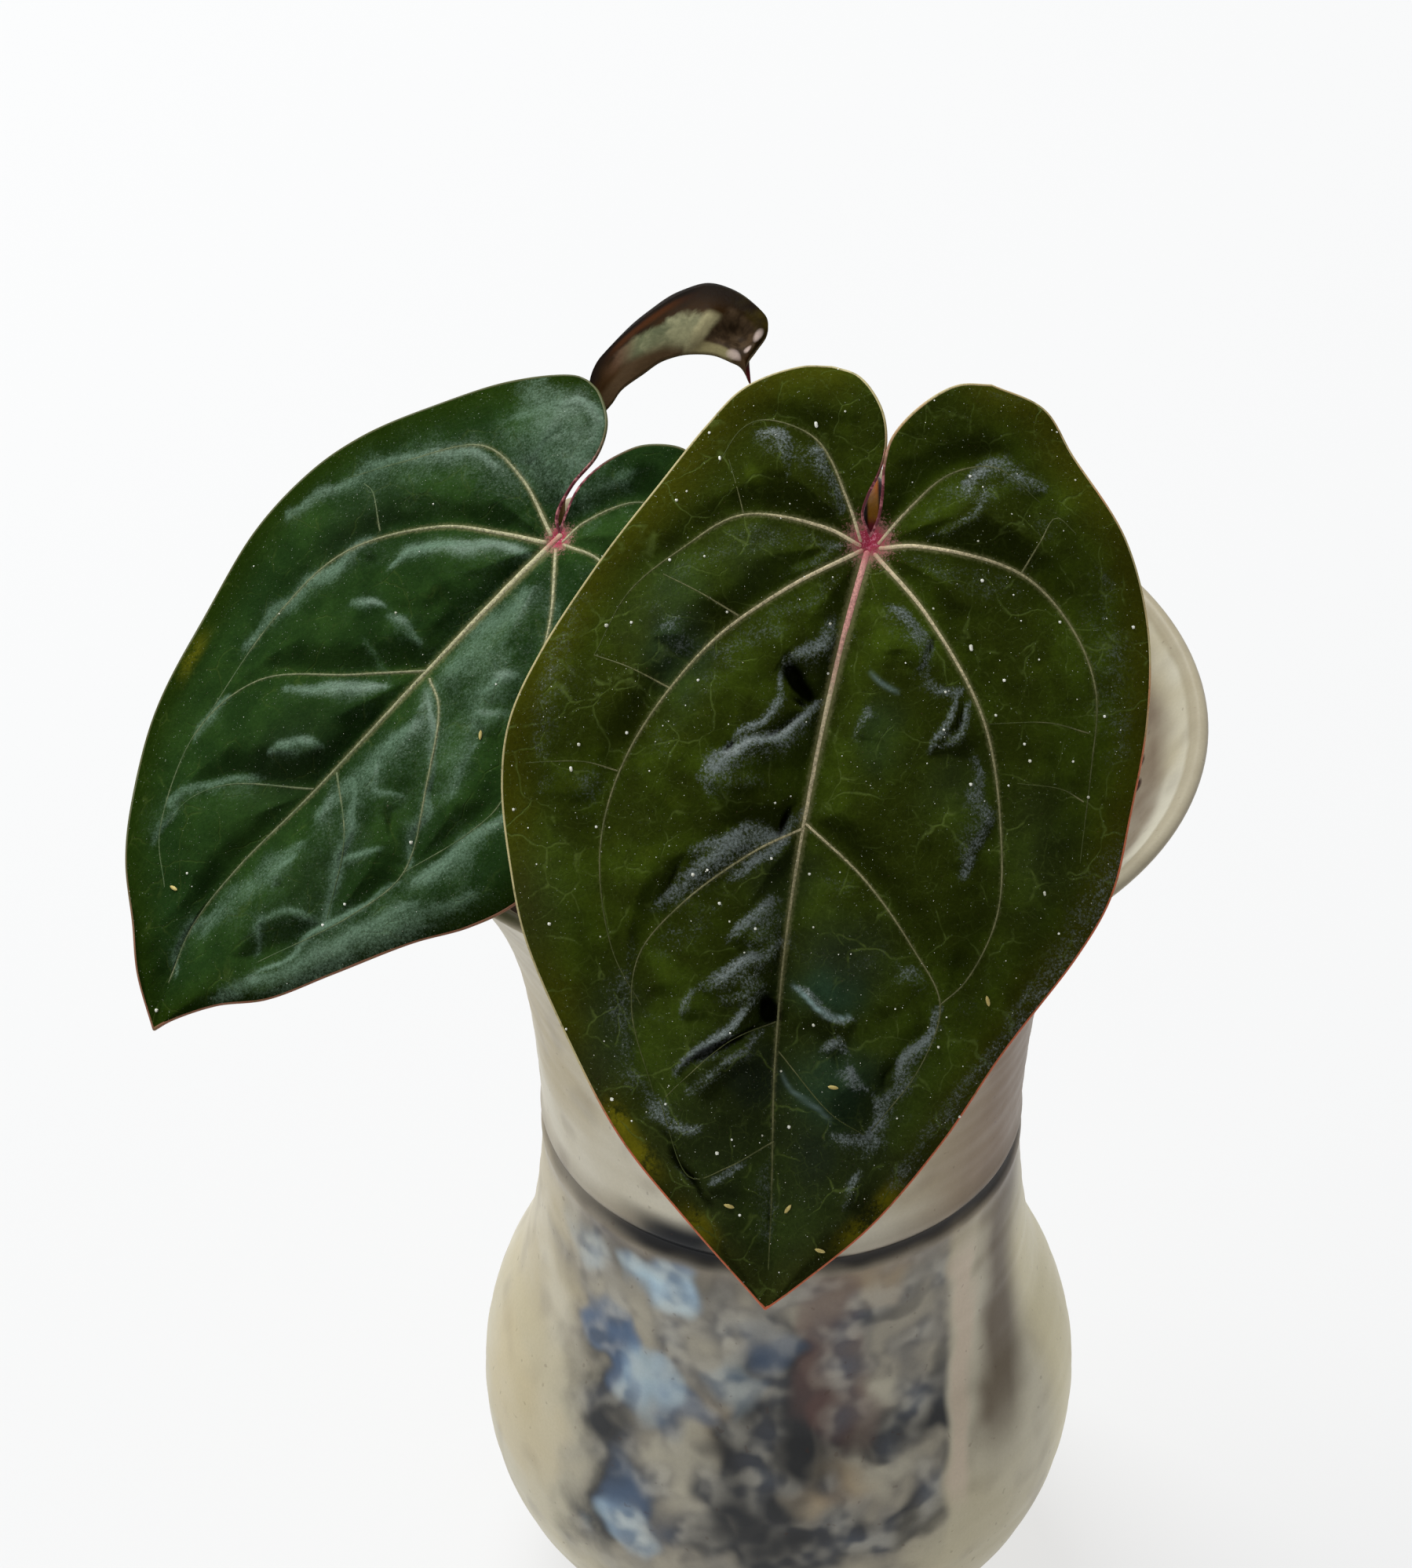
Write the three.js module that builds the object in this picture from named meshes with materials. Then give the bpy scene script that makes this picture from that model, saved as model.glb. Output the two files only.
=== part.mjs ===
// Potted heart-leaved house plant: a round-bellied vase with a flared neck, filled with potting mix,
// and a short crown that carries two quilted heart-shaped leaves and one young folded leaf.
// Millimetres, +Z up. The origin is the middle of the vase's foot, on the surface it stands on.
import * as THREE from 'three';
import { mergeVertices } from 'three/addons/utils/BufferGeometryUtils.js';

// Vase
const BELLY_RADIUS = 74.4;
const BELLY_HEIGHT = 59.2;
const BELLY_TAPER = 0.04;
const TAPER_TOP = 40;
const TAPER_DROP = 30;
const NECK_START = 96;
const NECK_RADIUS = 58.5;
const CREASE_HEIGHT = 146.2;
const CREASE_DEPTH = 1.3;
const RIM_RADIUS = 99;
const RIM_HEIGHT = 269.5;
const WALL = 4;
const FLOOR = 7;
const VASE_SIDES = 40;

// Potting mix and crown
const GAP = 0.3;
const MIX_HEIGHT = 235;
const MIX_LUMP = 2.6;
const CHIP_SIZE = 11;
const CROWN_RADIUS = 8.5;
const CROWN_BOTTOM = 212;
const CROWN_TOP = 249;
const CROWN_SIDES = 16;

// Leaves
const BLADE_THICKNESS = 1;
const BLADE_ROWS = 30;
const BLADE_STEPS = 11;
const VEIN_WIDTH = 6;
const VALLEY_WIDTH = 14;
const ARCH_PEAK = 0.4;
const ARCH_SPAN = 0.75;
const WAVE_COUNT = 5.5;
const WAVE_SHIFT = 2.1;
const YOUNG_ROWS = 18;
const YOUNG_STEPS = 6;
const YOUNG_SWELL = 2.2;
const PETIOLE_SIDES = 9;
const PETIOLE_STEPS = 22;
// A stalk's domed end in shares of its radius: how far out its ring and its tip stand, and the ring's size.
const DOME = { ring: 0.55, tip: 0.8, width: 0.72 };

const point = (x, y, z) => new THREE.Vector3(x, y, z);
const flat = (x, y) => new THREE.Vector2(x, y);
const mix = THREE.MathUtils.lerp;

// A closed mesh with shared corners merged and its faces turned outwards.
function closedSolid(geometry) {
  geometry.deleteAttribute('normal');
  geometry.deleteAttribute('uv');
  const merged = mergeVertices(geometry, 1e-3);
  const place = merged.attributes.position;
  const corner = (k) => point(place.getX(k), place.getY(k), place.getZ(k));
  const kept = [];
  let volume = 0;
  for (let k = 0; k < merged.index.count; k += 3) {
    const [a, b, c] = [0, 1, 2].map((n) => merged.index.getX(k + n));
    if (a === b || b === c || c === a) continue;
    kept.push(a, b, c);
    volume += corner(a).dot(corner(b).cross(corner(c)));
  }
  merged.setIndex(volume > 0 ? kept : kept.reverse());
  merged.computeVertexNormals();
  return merged;
}

function meshFrom(vertices, triangles) {
  const geometry = new THREE.BufferGeometry();
  const places = vertices.flatMap((v) => [v.x, v.y, v.z]);
  geometry.setAttribute('position', new THREE.Float32BufferAttribute(places, 3));
  geometry.setIndex(triangles);
  return closedSolid(geometry);
}

function turned(profile, sides) {
  const geometry = new THREE.LatheGeometry(profile, sides);
  geometry.rotateX(Math.PI / 2);
  return geometry;
}

// A curve of the vase from its foot up to the flare: a round belly from the given height, then the neck.
function vaseCurve(inset, from, steps, shoulder) {
  const radius = BELLY_RADIUS - inset;
  const low = Math.asin((from - BELLY_HEIGHT) / radius);
  const high = Math.asin((NECK_START - BELLY_HEIGHT) / radius);
  const belly = [];
  for (let k = 0; k < steps; k += 1) {
    const angle = mix(low, high, k / (steps - 1));
    const height = BELLY_HEIGHT + radius * Math.sin(angle);
    const taper = BELLY_TAPER * THREE.MathUtils.clamp((TAPER_TOP - height) / TAPER_DROP, 0, 1) ** 2;
    belly.push(flat(radius * Math.cos(angle) * (1 - taper), height));
  }
  const flare = [
    flat(59.6, 165), flat(61.6, 185), flat(64.9, 203.4), flat(70, 220), flat(75.4, 232.5),
    flat(82.4, 246), flat(89, 256), flat(94.8, 264),
  ];
  return belly.concat([...shoulder, ...flare].map((p) => flat(p.x - inset, p.y)));
}

function vaseOutside() {
  return vaseCurve(0, 0, 13, [
    flat(62.6, 104), flat(61.1, 112), flat(59.9, 122), flat(58.9, 135),
    flat(NECK_RADIUS + 0.1, CREASE_HEIGHT - 2.4),
    flat(NECK_RADIUS - CREASE_DEPTH, CREASE_HEIGHT),
    flat(NECK_RADIUS + 0.2, CREASE_HEIGHT + 2.4),
  ]);
}

function vaseInside(inset) {
  return vaseCurve(inset, FLOOR + inset - WALL, 7, [flat(61.1, 112), flat(NECK_RADIUS, CREASE_HEIGHT)]);
}

function vase() {
  const lip = [
    flat(RIM_RADIUS - 1.1, RIM_HEIGHT - 2.4),
    flat(RIM_RADIUS, RIM_HEIGHT - 1),
    flat(RIM_RADIUS - 0.6, RIM_HEIGHT),
    flat(RIM_RADIUS - 2.2, RIM_HEIGHT + 0.3),
    flat(RIM_RADIUS - 4, RIM_HEIGHT - 0.8),
  ];
  const inside = vaseInside(WALL).reverse();
  const profile = [flat(0, 0), ...vaseOutside(), ...lip, ...inside, flat(0, FLOOR)];
  return closedSolid(turned(profile, VASE_SIDES));
}

// A repeatable value from 0 to 1 for each pair of whole numbers.
function draw(a, b) {
  const value = Math.sin(a * 127.1 + b * 311.7) * 43758.5453;
  return value - Math.floor(value);
}

// Height of the bark pieces that the mix ends in: the highest of the slanted chips near a place.
function barkHeight(x, y) {
  let height = 0;
  for (let i = -1; i <= 1; i += 1) {
    for (let j = -1; j <= 1; j += 1) {
      const column = Math.floor(x / CHIP_SIZE) + i;
      const row = Math.floor(y / CHIP_SIZE) + j;
      const dx = x / CHIP_SIZE - column - draw(column, row);
      const dy = y / CHIP_SIZE - row - draw(column + 31, row);
      const lean = (draw(column, row + 17) - 0.5) * dx + (draw(column + 5, row + 3) - 0.5) * dy;
      const chip = draw(column + 9, row + 23) + lean - 0.9 * (dx * dx + dy * dy);
      height = Math.max(height, chip);
    }
  }
  return height * MIX_LUMP;
}

// The potting mix fills the vase to a lumpy top, with a plain hole for the crown.
function pottingMix() {
  const wall = vaseInside(WALL + GAP).filter((p) => p.y < MIX_HEIGHT - 1);
  const edge = wall[wall.length - 1].x + 0.4;
  const hole = CROWN_RADIUS + GAP;
  const top = [];
  const rings = 10;
  for (let k = 0; k <= rings; k += 1) top.push(flat(mix(hole, edge, k / rings), MIX_HEIGHT));
  const profile = [flat(0, CROWN_BOTTOM - GAP), flat(hole, CROWN_BOTTOM - GAP), ...top, ...wall.reverse()];
  profile.push(flat(0, FLOOR + GAP));
  const geometry = turned(profile, VASE_SIDES);
  const place = geometry.attributes.position;
  for (let k = 0; k < place.count; k += 1) {
    const reach = Math.hypot(place.getX(k), place.getY(k));
    const onTop = Math.abs(Math.abs(place.getZ(k)) - MIX_HEIGHT) < 0.01;
    if (onTop && reach > hole + 0.5 && reach < edge - 0.5) {
      place.setZ(k, place.getZ(k) + barkHeight(place.getX(k), place.getY(k)));
    }
  }
  return closedSolid(geometry);
}

// The crown: the short stem that all the leaf stalks grow from, with rings where old leaves dropped.
function crown() {
  const profile = [flat(0, CROWN_BOTTOM), flat(CROWN_RADIUS, CROWN_BOTTOM)];
  const rise = MIX_HEIGHT + 1 - CROWN_BOTTOM;
  profile.push(flat(CROWN_RADIUS, CROWN_BOTTOM + rise));
  for (let k = 1; k <= 8; k += 1) {
    const angle = (k / 9) * (Math.PI / 2);
    const ring = k % 2 ? 0.35 : -0.35;
    const height = CROWN_BOTTOM + rise + (CROWN_TOP - CROWN_BOTTOM - rise) * Math.sin(angle);
    profile.push(flat((CROWN_RADIUS + ring) * Math.cos(angle), height));
  }
  profile.push(flat(0, CROWN_TOP));
  return closedSolid(turned(profile, CROWN_SIDES));
}

// A stalk: a round tapering tube along a smooth curve, swollen at its far end, with domed ends.
function stalk(route, widths) {
  const path = new THREE.CatmullRomCurve3(route.map((p) => point(...p)), false, 'centripetal');
  const thickness = new THREE.SplineCurve(widths.map((w) => flat(w[0], w[1])));
  const frames = path.computeFrenetFrames(PETIOLE_STEPS, false);
  const radiusAt = (along) => {
    let k = 1;
    while (k < widths.length - 1 && widths[k][0] < along) k += 1;
    const share = (along - widths[k - 1][0]) / (widths[k][0] - widths[k - 1][0]);
    return thickness.getPoint((k - 1 + share) / (widths.length - 1)).y;
  };
  const vertices = [];
  const ring = (centre, step, radius) => {
    for (let n = 0; n < PETIOLE_SIDES; n += 1) {
      const angle = (n / PETIOLE_SIDES) * Math.PI * 2;
      const out = frames.normals[step].clone().multiplyScalar(Math.cos(angle) * radius);
      out.addScaledVector(frames.binormals[step], Math.sin(angle) * radius);
      vertices.push(centre.clone().add(out));
    }
  };
  const dome = (along, step, sign) => {
    const radius = radiusAt(along);
    const beyond = (share) => path.getPointAt(along)
      .addScaledVector(frames.tangents[step], sign * radius * share);
    ring(beyond(DOME.ring), step, radius * DOME.width);
    return beyond(DOME.tip);
  };
  const start = dome(0, 0, -1);
  for (let k = 0; k <= PETIOLE_STEPS; k += 1) {
    const along = k / PETIOLE_STEPS;
    ring(path.getPointAt(along), k, radiusAt(along));
  }
  const end = dome(1, PETIOLE_STEPS, 1);
  const rings = PETIOLE_STEPS + 3;
  const [first, last] = [vertices.push(start) - 1, vertices.push(end) - 1];
  const triangles = [];
  for (let n = 0; n < PETIOLE_SIDES; n += 1) {
    const next = (n + 1) % PETIOLE_SIDES;
    triangles.push(first, next, n);
    triangles.push(last, (rings - 1) * PETIOLE_SIDES + n, (rings - 1) * PETIOLE_SIDES + next);
    for (let k = 0; k < rings - 1; k += 1) {
      const [a, b] = [k * PETIOLE_SIDES + n, k * PETIOLE_SIDES + next];
      triangles.push(a, b, b + PETIOLE_SIDES, a, b + PETIOLE_SIDES, a + PETIOLE_SIDES);
    }
  }
  return meshFrom(vertices, triangles);
}

// Plan measures of a blade are [along the midrib, across it], from the place where the stalk joins.
const FRONT_LEAF = {
  base: [17.2, -50.2, 354.8],
  tip: [-5.5, -155.3, 224.9],
  facing: [0, -0.777, 0.629],
  lift: [0, -0.777, 0.629],
  midrib: [[-2.2, 0], [18, -2.6], [50, -5.4], [85, -6.5], [114, -5.3], [143, -2.1], [168.6, 0]],
  arch: 9,
  valley: 3.6,
  curl: 7,
  wave: 1.6,
  quilt: 2.6,
  halves: [
    {
      sinus: [
        [-2.2, 0], [-6.5, -2.5], [-11, -1.9], [-16.8, -0.1], [-23.5, 0.4], [-30.5, -1.7], [-36.7, -7.2],
        [-38.3, -13],
      ],
      margin: [
        [-38.3, -13], [-37.2, -20.1], [-31.1, -31.5], [-22, -38.5], [-6, -48], [11, -57.8],
        [32.3, -67.9], [48.5, -72.7], [62.4, -72.5], [80.9, -67.9], [95.7, -62.5], [117.4, -49.5],
        [136.3, -35.6], [152.2, -18.7], [164.2, -4.9], [168.6, 0],
      ],
      veins: [
        [[0, 0], [-9.1, -5.9], [-21.8, -14.6], [-24.7, -26.3], [-13.8, -35.2]],
        [[0, 0], [-2.9, -10.3], [-3.1, -28.5], [12, -43.8], [31.6, -56.4]],
        [[0, 0], [11.8, -17], [26.6, -32.3], [51.9, -46.2], [73.1, -49.4], [94.9, -43.8]],
        [[62, -5.5], [75.7, -23.9], [95, -37.8], [108, -37.7], [124.4, -30.8]],
        [[105.4, -5.6], [116.2, -21.9], [125.2, -27.9], [143, -17]],
      ],
    },
    {
      sinus: [
        [-2.2, 0], [-6, 1.2], [-11.8, 1.4], [-18, 1], [-24, 1.9], [-31.6, 7], [-37.5, 14.5], [-38.9, 22],
      ],
      margin: [
        [-38.9, 22], [-35.3, 34.2], [-26, 41.7], [-8.8, 55.7], [9.3, 63], [29.8, 65.3], [50.7, 64.6],
        [68.3, 62.7], [83, 56.9], [107.4, 42.9], [126.9, 33.4], [146.9, 20.5], [161.8, 6.9], [168.6, 0],
      ],
      veins: [
        [[0, 0], [-13.2, 11.7], [-20.9, 25.1], [-14.7, 35.8]],
        [[0, 0], [-1.3, 16], [1.5, 33.7], [19.6, 50.9], [41.7, 54.7], [62.4, 55]],
        [[0, 0], [13.3, 14.5], [34.6, 29.9], [68.2, 38.2], [96.9, 28.8]],
        [[62, -5.5], [78.3, 14.6], [97.2, 28.8], [118.7, 23.6]],
        [[112.2, -4.7], [124.2, 8.7], [134, 17]],
      ],
    },
  ],
};

const LEFT_LEAF = {
  base: [-53, -8, 324.2],
  tip: [-144.2, -77.6, 238.3],
  facing: [-0.397, -0.461, 0.794],
  lift: [0, -0.777, 0.629],
  midrib: [
    [-2.1, 0], [13.6, -2], [42, -4.5], [78.6, -7.3], [103.9, -10.2], [120, -9.6], [133, -5], [143.3, 0],
  ],
  arch: 8,
  valley: 3.4,
  curl: 5,
  wave: 1.5,
  quilt: 2.4,
  halves: [
    {
      sinus: [
        [-2.1, 0], [-4.8, -3.9], [-12.5, -6.2], [-21.6, -6.3], [-28.6, -9.8], [-33.1, -17], [-33.8, -21.5],
      ],
      margin: [
        [-33.8, -21.5], [-32.7, -25.3], [-21.2, -39.1], [-6.1, -50.5], [10, -60.4], [22.3, -64.7],
        [42, -65.8], [67, -61], [90.7, -54.3], [107.3, -44.5], [119.1, -34.7], [128.8, -22.2],
        [136.1, -13], [143.3, 0],
      ],
      veins: [
        [[0, 0], [-6.8, -18], [-7.1, -32.2], [8, -46.9], [18.9, -56.1]],
        [[0, 0], [13.7, -27], [32.1, -42.7], [54.4, -46.1], [84.9, -42.6]],
        [[40.7, -4.4], [52.4, -19.5], [67.5, -38.6], [86.2, -42.8], [108.5, -33], [117.3, -22.4]],
        [[78, -7.9], [90.3, -27], [106, -32.7]],
      ],
    },
    {
      sinus: [
        [-2.1, 0], [-5.9, -1.9], [-13, -4.1], [-19, -3.6], [-24.1, -1.7], [-29.8, 2.1], [-34.8, 10.8],
        [-34, 18],
      ],
      margin: [
        [-34, 18], [-27, 32], [-12, 42.5], [10, 51], [32, 54.6], [50, 55.4], [67.7, 53.1], [78.5, 47.5],
        [89.5, 38.6], [106.7, 27.5], [120.7, 18.3], [129.5, 8.8], [139.2, 1.8], [143.3, 0],
      ],
      veins: [
        [[0, 0], [-14.1, 6.5], [-22, 17], [-18, 30]],
        [[0, 0], [-3.4, 12.8], [2, 28], [18, 40], [36, 44]],
        [[0, 0], [15.6, 13.6], [32.6, 24], [52.2, 33.3], [78.9, 25.3]],
        [[41.8, -2.5], [60.4, 15.2], [78.9, 25.3], [104.1, 18.4], [126, 4]],
      ],
    },
  ],
};

const YOUNG_LEAF = {
  under: [0, 0.3, 0.95],
  ridge: [
    [-44.3, 29.7, 337.4], [-45.4, 33.7, 339.2], [-43.8, 37.5, 342.3], [-40.2, 40.5, 345.2],
    [-35.5, 43.2, 348.5], [-30.2, 45.3, 351.9], [-24.6, 47, 354.8], [-18.4, 47.5, 356.9],
    [-12.6, 45.1, 357.2], [-7.9, 41.2, 356.4], [-4.5, 37.4, 354.9], [-4.5, 34, 353.1],
    [-6.9, 30.5, 351.1], [-9.1, 27.7, 349.2], [-9.4, 25.9, 347.8], [-8.2, 23.7, 345.9],
  ],
  near: [
    [-44.3, 29.7, 337.4], [-42.4, 25.7, 337.2], [-40.2, 25.3, 339.9], [-37.9, 26.9, 342.7],
    [-32.8, 29.3, 345.6], [-28.9, 31, 347.7], [-24.7, 31.4, 349.1], [-20.2, 31.3, 349.7],
    [-16.6, 30.3, 350], [-13, 28.5, 349.5], [-10.5, 27.1, 348.8], [-8.2, 23.7, 345.9],
  ],
  far: [
    [-44.3, 29.7, 337.4], [-43.5, 36.6, 337.2], [-39.9, 42.7, 339.1], [-34.5, 47.7, 341.3],
    [-27.9, 51.2, 344], [-20.2, 52, 346.7], [-13.3, 48.7, 348.2], [-8.6, 43, 349],
    [-7.2, 37.2, 349.1], [-8.5, 30.5, 348.7], [-8.2, 23.7, 345.9],
  ],
};

function evenly(points, count) {
  const places = points.map((p) => point(p[0], p[1], p[2] ?? 0));
  return new THREE.CatmullRomCurve3(places, false, 'centripetal').getSpacedPoints(count);
}

function distanceToVeins(veins, s, t) {
  let nearest = Infinity;
  for (const vein of veins) {
    for (let k = 1; k < vein.length; k += 1) {
      const [a, b] = [vein[k - 1], vein[k]];
      const along = flat(b[0] - a[0], b[1] - a[1]);
      const share = ((s - a[0]) * along.x + (t - a[1]) * along.y) / along.lengthSq();
      const held = THREE.MathUtils.clamp(share, 0, 1);
      nearest = Math.min(nearest, Math.hypot(s - a[0] - held * along.x, t - a[1] - held * along.y));
    }
  }
  return nearest;
}

// Height of a blade over its plan: an arch from lobes to tip, a valley along the midrib, a curled and
// waved margin, and a pillow between each pair of veins.
function bladeHeight(leaf, half, s, t, row, step) {
  const reach = leaf.midrib[leaf.midrib.length - 1][0];
  const archAt = (x) => Math.cos(((x / reach - ARCH_PEAK) / ARCH_SPAN) * (Math.PI / 2));
  const arch = leaf.arch * (archAt(s) - archAt(0));
  if (step === 0) return arch;
  const out = step * (1 - row ** 8);
  const away = distanceToVeins([leaf.midrib], s, t);
  const veins = leaf.halves[half].veins;
  const quilt = 1 - Math.exp(-((Math.min(away, distanceToVeins(veins, s, t)) / VEIN_WIDTH) ** 2));
  const valley = leaf.valley * (1 - Math.exp(-away / VALLEY_WIDTH));
  const wave = leaf.wave * out ** 2 * Math.sin(row * WAVE_COUNT * Math.PI * 2 + half * WAVE_SHIFT);
  return arch + valley + wave - leaf.curl * out ** 3 + leaf.quilt * quilt * (1 - step ** 6);
}

// Plan of one half: rows of places from the midrib out to the margin. Row 0 follows the edge of the
// notch at the base, and the last row is the tip.
function halfPlan(leaf, half) {
  const { sinus, margin } = leaf.halves[half];
  const rim = evenly(margin, BLADE_ROWS);
  const notch = evenly(sinus, BLADE_STEPS);
  const ribPlaces = leaf.midrib.map((p) => point(p[0], p[1], 0));
  const rib = new THREE.CatmullRomCurve3(ribPlaces, false, 'centripetal');
  const rows = [];
  for (let i = 0; i <= BLADE_ROWS; i += 1) {
    const row = i / BLADE_ROWS;
    const inner = rib.getPointAt(row ** 1.5);
    rows.push(notch.map((edge, j) => {
      const out = j / BLADE_STEPS;
      const place = inner.clone().lerp(rim[i], out);
      const bend = edge.clone().sub(notch[0].clone().lerp(rim[0], out));
      return place.addScaledVector(bend, (1 - row) ** 3);
    }));
  }
  return rows;
}

// Both faces of a thin sheet from a grid of rows, closed by walls along its edge.
function thinSheet(halves, under) {
  const top = [];
  const grids = halves.map((rows) => rows.map((row) => row.map((place) => top.push(place) - 1)));
  const bottom = top.map((place) => place.clone().sub(under));
  const count = top.length;
  const triangles = [];
  grids.forEach((grid, side) => {
    const face = (a, b, c) => {
      const [x, y, z] = side ? [a, c, b] : [a, b, c];
      triangles.push(x, y, z, count + x, count + z, count + y);
    };
    const wall = (a, b) => {
      const [x, y] = side ? [b, a] : [a, b];
      triangles.push(x, y, count + y, x, count + y, count + x);
    };
    const steps = grid[0].length - 1;
    for (let i = 0; i < grid.length - 1; i += 1) {
      for (let j = 0; j < steps; j += 1) {
        face(grid[i][j], grid[i][j + 1], grid[i + 1][j + 1]);
        face(grid[i][j], grid[i + 1][j + 1], grid[i + 1][j]);
      }
      wall(grid[i + 1][steps], grid[i][steps]);
    }
    for (let j = 0; j < steps; j += 1) wall(grid[0][j + 1], grid[0][j]);
  });
  return meshFrom([...top, ...bottom], triangles);
}

function heartBlade(leaf) {
  const base = point(...leaf.base);
  const along = point(...leaf.tip).sub(base).normalize();
  const facing = point(...leaf.facing);
  facing.addScaledVector(along, -facing.dot(along)).normalize();
  const across = facing.clone().cross(along);
  const lift = point(...leaf.lift);
  const under = lift.clone().multiplyScalar(BLADE_THICKNESS);
  const halves = leaf.halves.map((_, half) => halfPlan(leaf, half).map((row, i) => row.map((place, j) => {
    const height = bladeHeight(leaf, half, place.x, place.y, i / BLADE_ROWS, j / BLADE_STEPS);
    return base.clone().addScaledVector(along, place.x).addScaledVector(across, place.y)
      .addScaledVector(lift, height);
  })));
  return thinSheet(halves, under);
}

// The young leaf is still folded over its midrib and arches to its drip tip.
function foldedBlade(leaf) {
  const ridge = evenly(leaf.ridge, YOUNG_ROWS);
  const halves = [leaf.near, leaf.far].map((margin, side) => {
    const edge = evenly(margin, YOUNG_ROWS);
    const outwards = point(0, side ? 1 : -0.5, 0.9);
    return ridge.map((inner, i) => {
      const row = [];
      for (let j = 0; j <= YOUNG_STEPS; j += 1) {
        const out = j / YOUNG_STEPS;
        const swell = YOUNG_SWELL * Math.sin((i / YOUNG_ROWS) * Math.PI) * Math.sin(out * Math.PI);
        row.push(inner.clone().lerp(edge[i], out).addScaledVector(outwards, swell));
      }
      return row;
    });
  });
  return thinSheet(halves, point(...leaf.under).multiplyScalar(BLADE_THICKNESS));
}

const MATERIALS = {
  glaze: new THREE.MeshStandardMaterial({ color: 0xb7b1a6, roughness: 0.3, metalness: 0 }),
  bark: new THREE.MeshStandardMaterial({ color: 0x4a3526, roughness: 0.95, metalness: 0 }),
  stem: new THREE.MeshStandardMaterial({ color: 0x6d5a3a, roughness: 0.8, metalness: 0 }),
  stalk: new THREE.MeshStandardMaterial({ color: 0x8f6a3c, roughness: 0.5, metalness: 0 }),
  velvet: new THREE.MeshStandardMaterial({ color: 0x2c4a20, roughness: 0.45, metalness: 0 }),
  bronze: new THREE.MeshStandardMaterial({ color: 0x5d4024, roughness: 0.4, metalness: 0 }),
};

function piece(name, geometry, material) {
  const mesh = new THREE.Mesh(geometry, material);
  mesh.name = name;
  return mesh;
}

const STALK_WIDTHS = [[0, 4.2], [0.12, 3], [0.5, 2.5], [0.86, 2.5], [0.95, 3.1], [1, 2.6]];
const FRONT_ROUTE = [
  [5.55, -4.65, 249.55], [9, -6, 268], [13, -9, 305], [17, -18, 342], [18.6, -32.5, 357.5],
  [18.2, -41.5, 355.8], [17.5, -46.6, 352.5],
];
const LEFT_ROUTE = [
  [-7.4, -1.65, 249], [-15, 0, 272], [-28, 4, 302], [-40, 4.5, 319], [-47, 0.5, 322.5],
  [-51.6, -5.3, 321.7],
];
const YOUNG_ROUTE = [
  [-5.55, 6.4, 247.3], [-16, 10, 261], [-33, 16, 280], [-47, 20, 297], [-53, 22, 309],
  [-52, 23.3, 318.3], [-47, 23.4, 326.2], [-44.2, 24.6, 331.5], [-43.6, 26.5, 334.6],
];
const YOUNG_WIDTHS = [[0, 3.4], [0.15, 2.4], [0.5, 2], [0.9, 2], [1, 1.8]];

const plant = new THREE.Group();
plant.add(piece('vase', vase(), MATERIALS.glaze));
plant.add(piece('potting_mix', pottingMix(), MATERIALS.bark));
plant.add(piece('crown', crown(), MATERIALS.stem));
plant.add(piece('petiole_front', stalk(FRONT_ROUTE, STALK_WIDTHS), MATERIALS.stalk));
plant.add(piece('petiole_left', stalk(LEFT_ROUTE, STALK_WIDTHS), MATERIALS.stalk));
plant.add(piece('petiole_young', stalk(YOUNG_ROUTE, YOUNG_WIDTHS), MATERIALS.stalk));
plant.add(piece('leaf_front', heartBlade(FRONT_LEAF), MATERIALS.velvet));
plant.add(piece('leaf_left', heartBlade(LEFT_LEAF), MATERIALS.velvet));
plant.add(piece('leaf_young', foldedBlade(YOUNG_LEAF), MATERIALS.bronze));

export default plant;
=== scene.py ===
import math

import bpy
import numpy as np
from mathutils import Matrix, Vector
from mathutils.bvhtree import BVHTree
from mathutils.geometry import barycentric_transform


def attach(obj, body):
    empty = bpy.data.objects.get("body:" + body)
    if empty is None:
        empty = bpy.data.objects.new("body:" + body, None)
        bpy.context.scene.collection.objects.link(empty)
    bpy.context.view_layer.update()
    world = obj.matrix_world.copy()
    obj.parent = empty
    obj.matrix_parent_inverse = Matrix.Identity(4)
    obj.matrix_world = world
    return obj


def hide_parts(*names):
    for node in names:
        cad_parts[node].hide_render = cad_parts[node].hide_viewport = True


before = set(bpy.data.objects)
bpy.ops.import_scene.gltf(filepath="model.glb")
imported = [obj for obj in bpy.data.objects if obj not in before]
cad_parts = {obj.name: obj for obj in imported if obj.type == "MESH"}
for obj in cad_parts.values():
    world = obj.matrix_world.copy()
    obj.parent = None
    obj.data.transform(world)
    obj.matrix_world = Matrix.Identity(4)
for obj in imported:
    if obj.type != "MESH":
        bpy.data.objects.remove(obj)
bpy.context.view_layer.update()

MM = 0.001
BODY = "root"


# Curves

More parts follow.
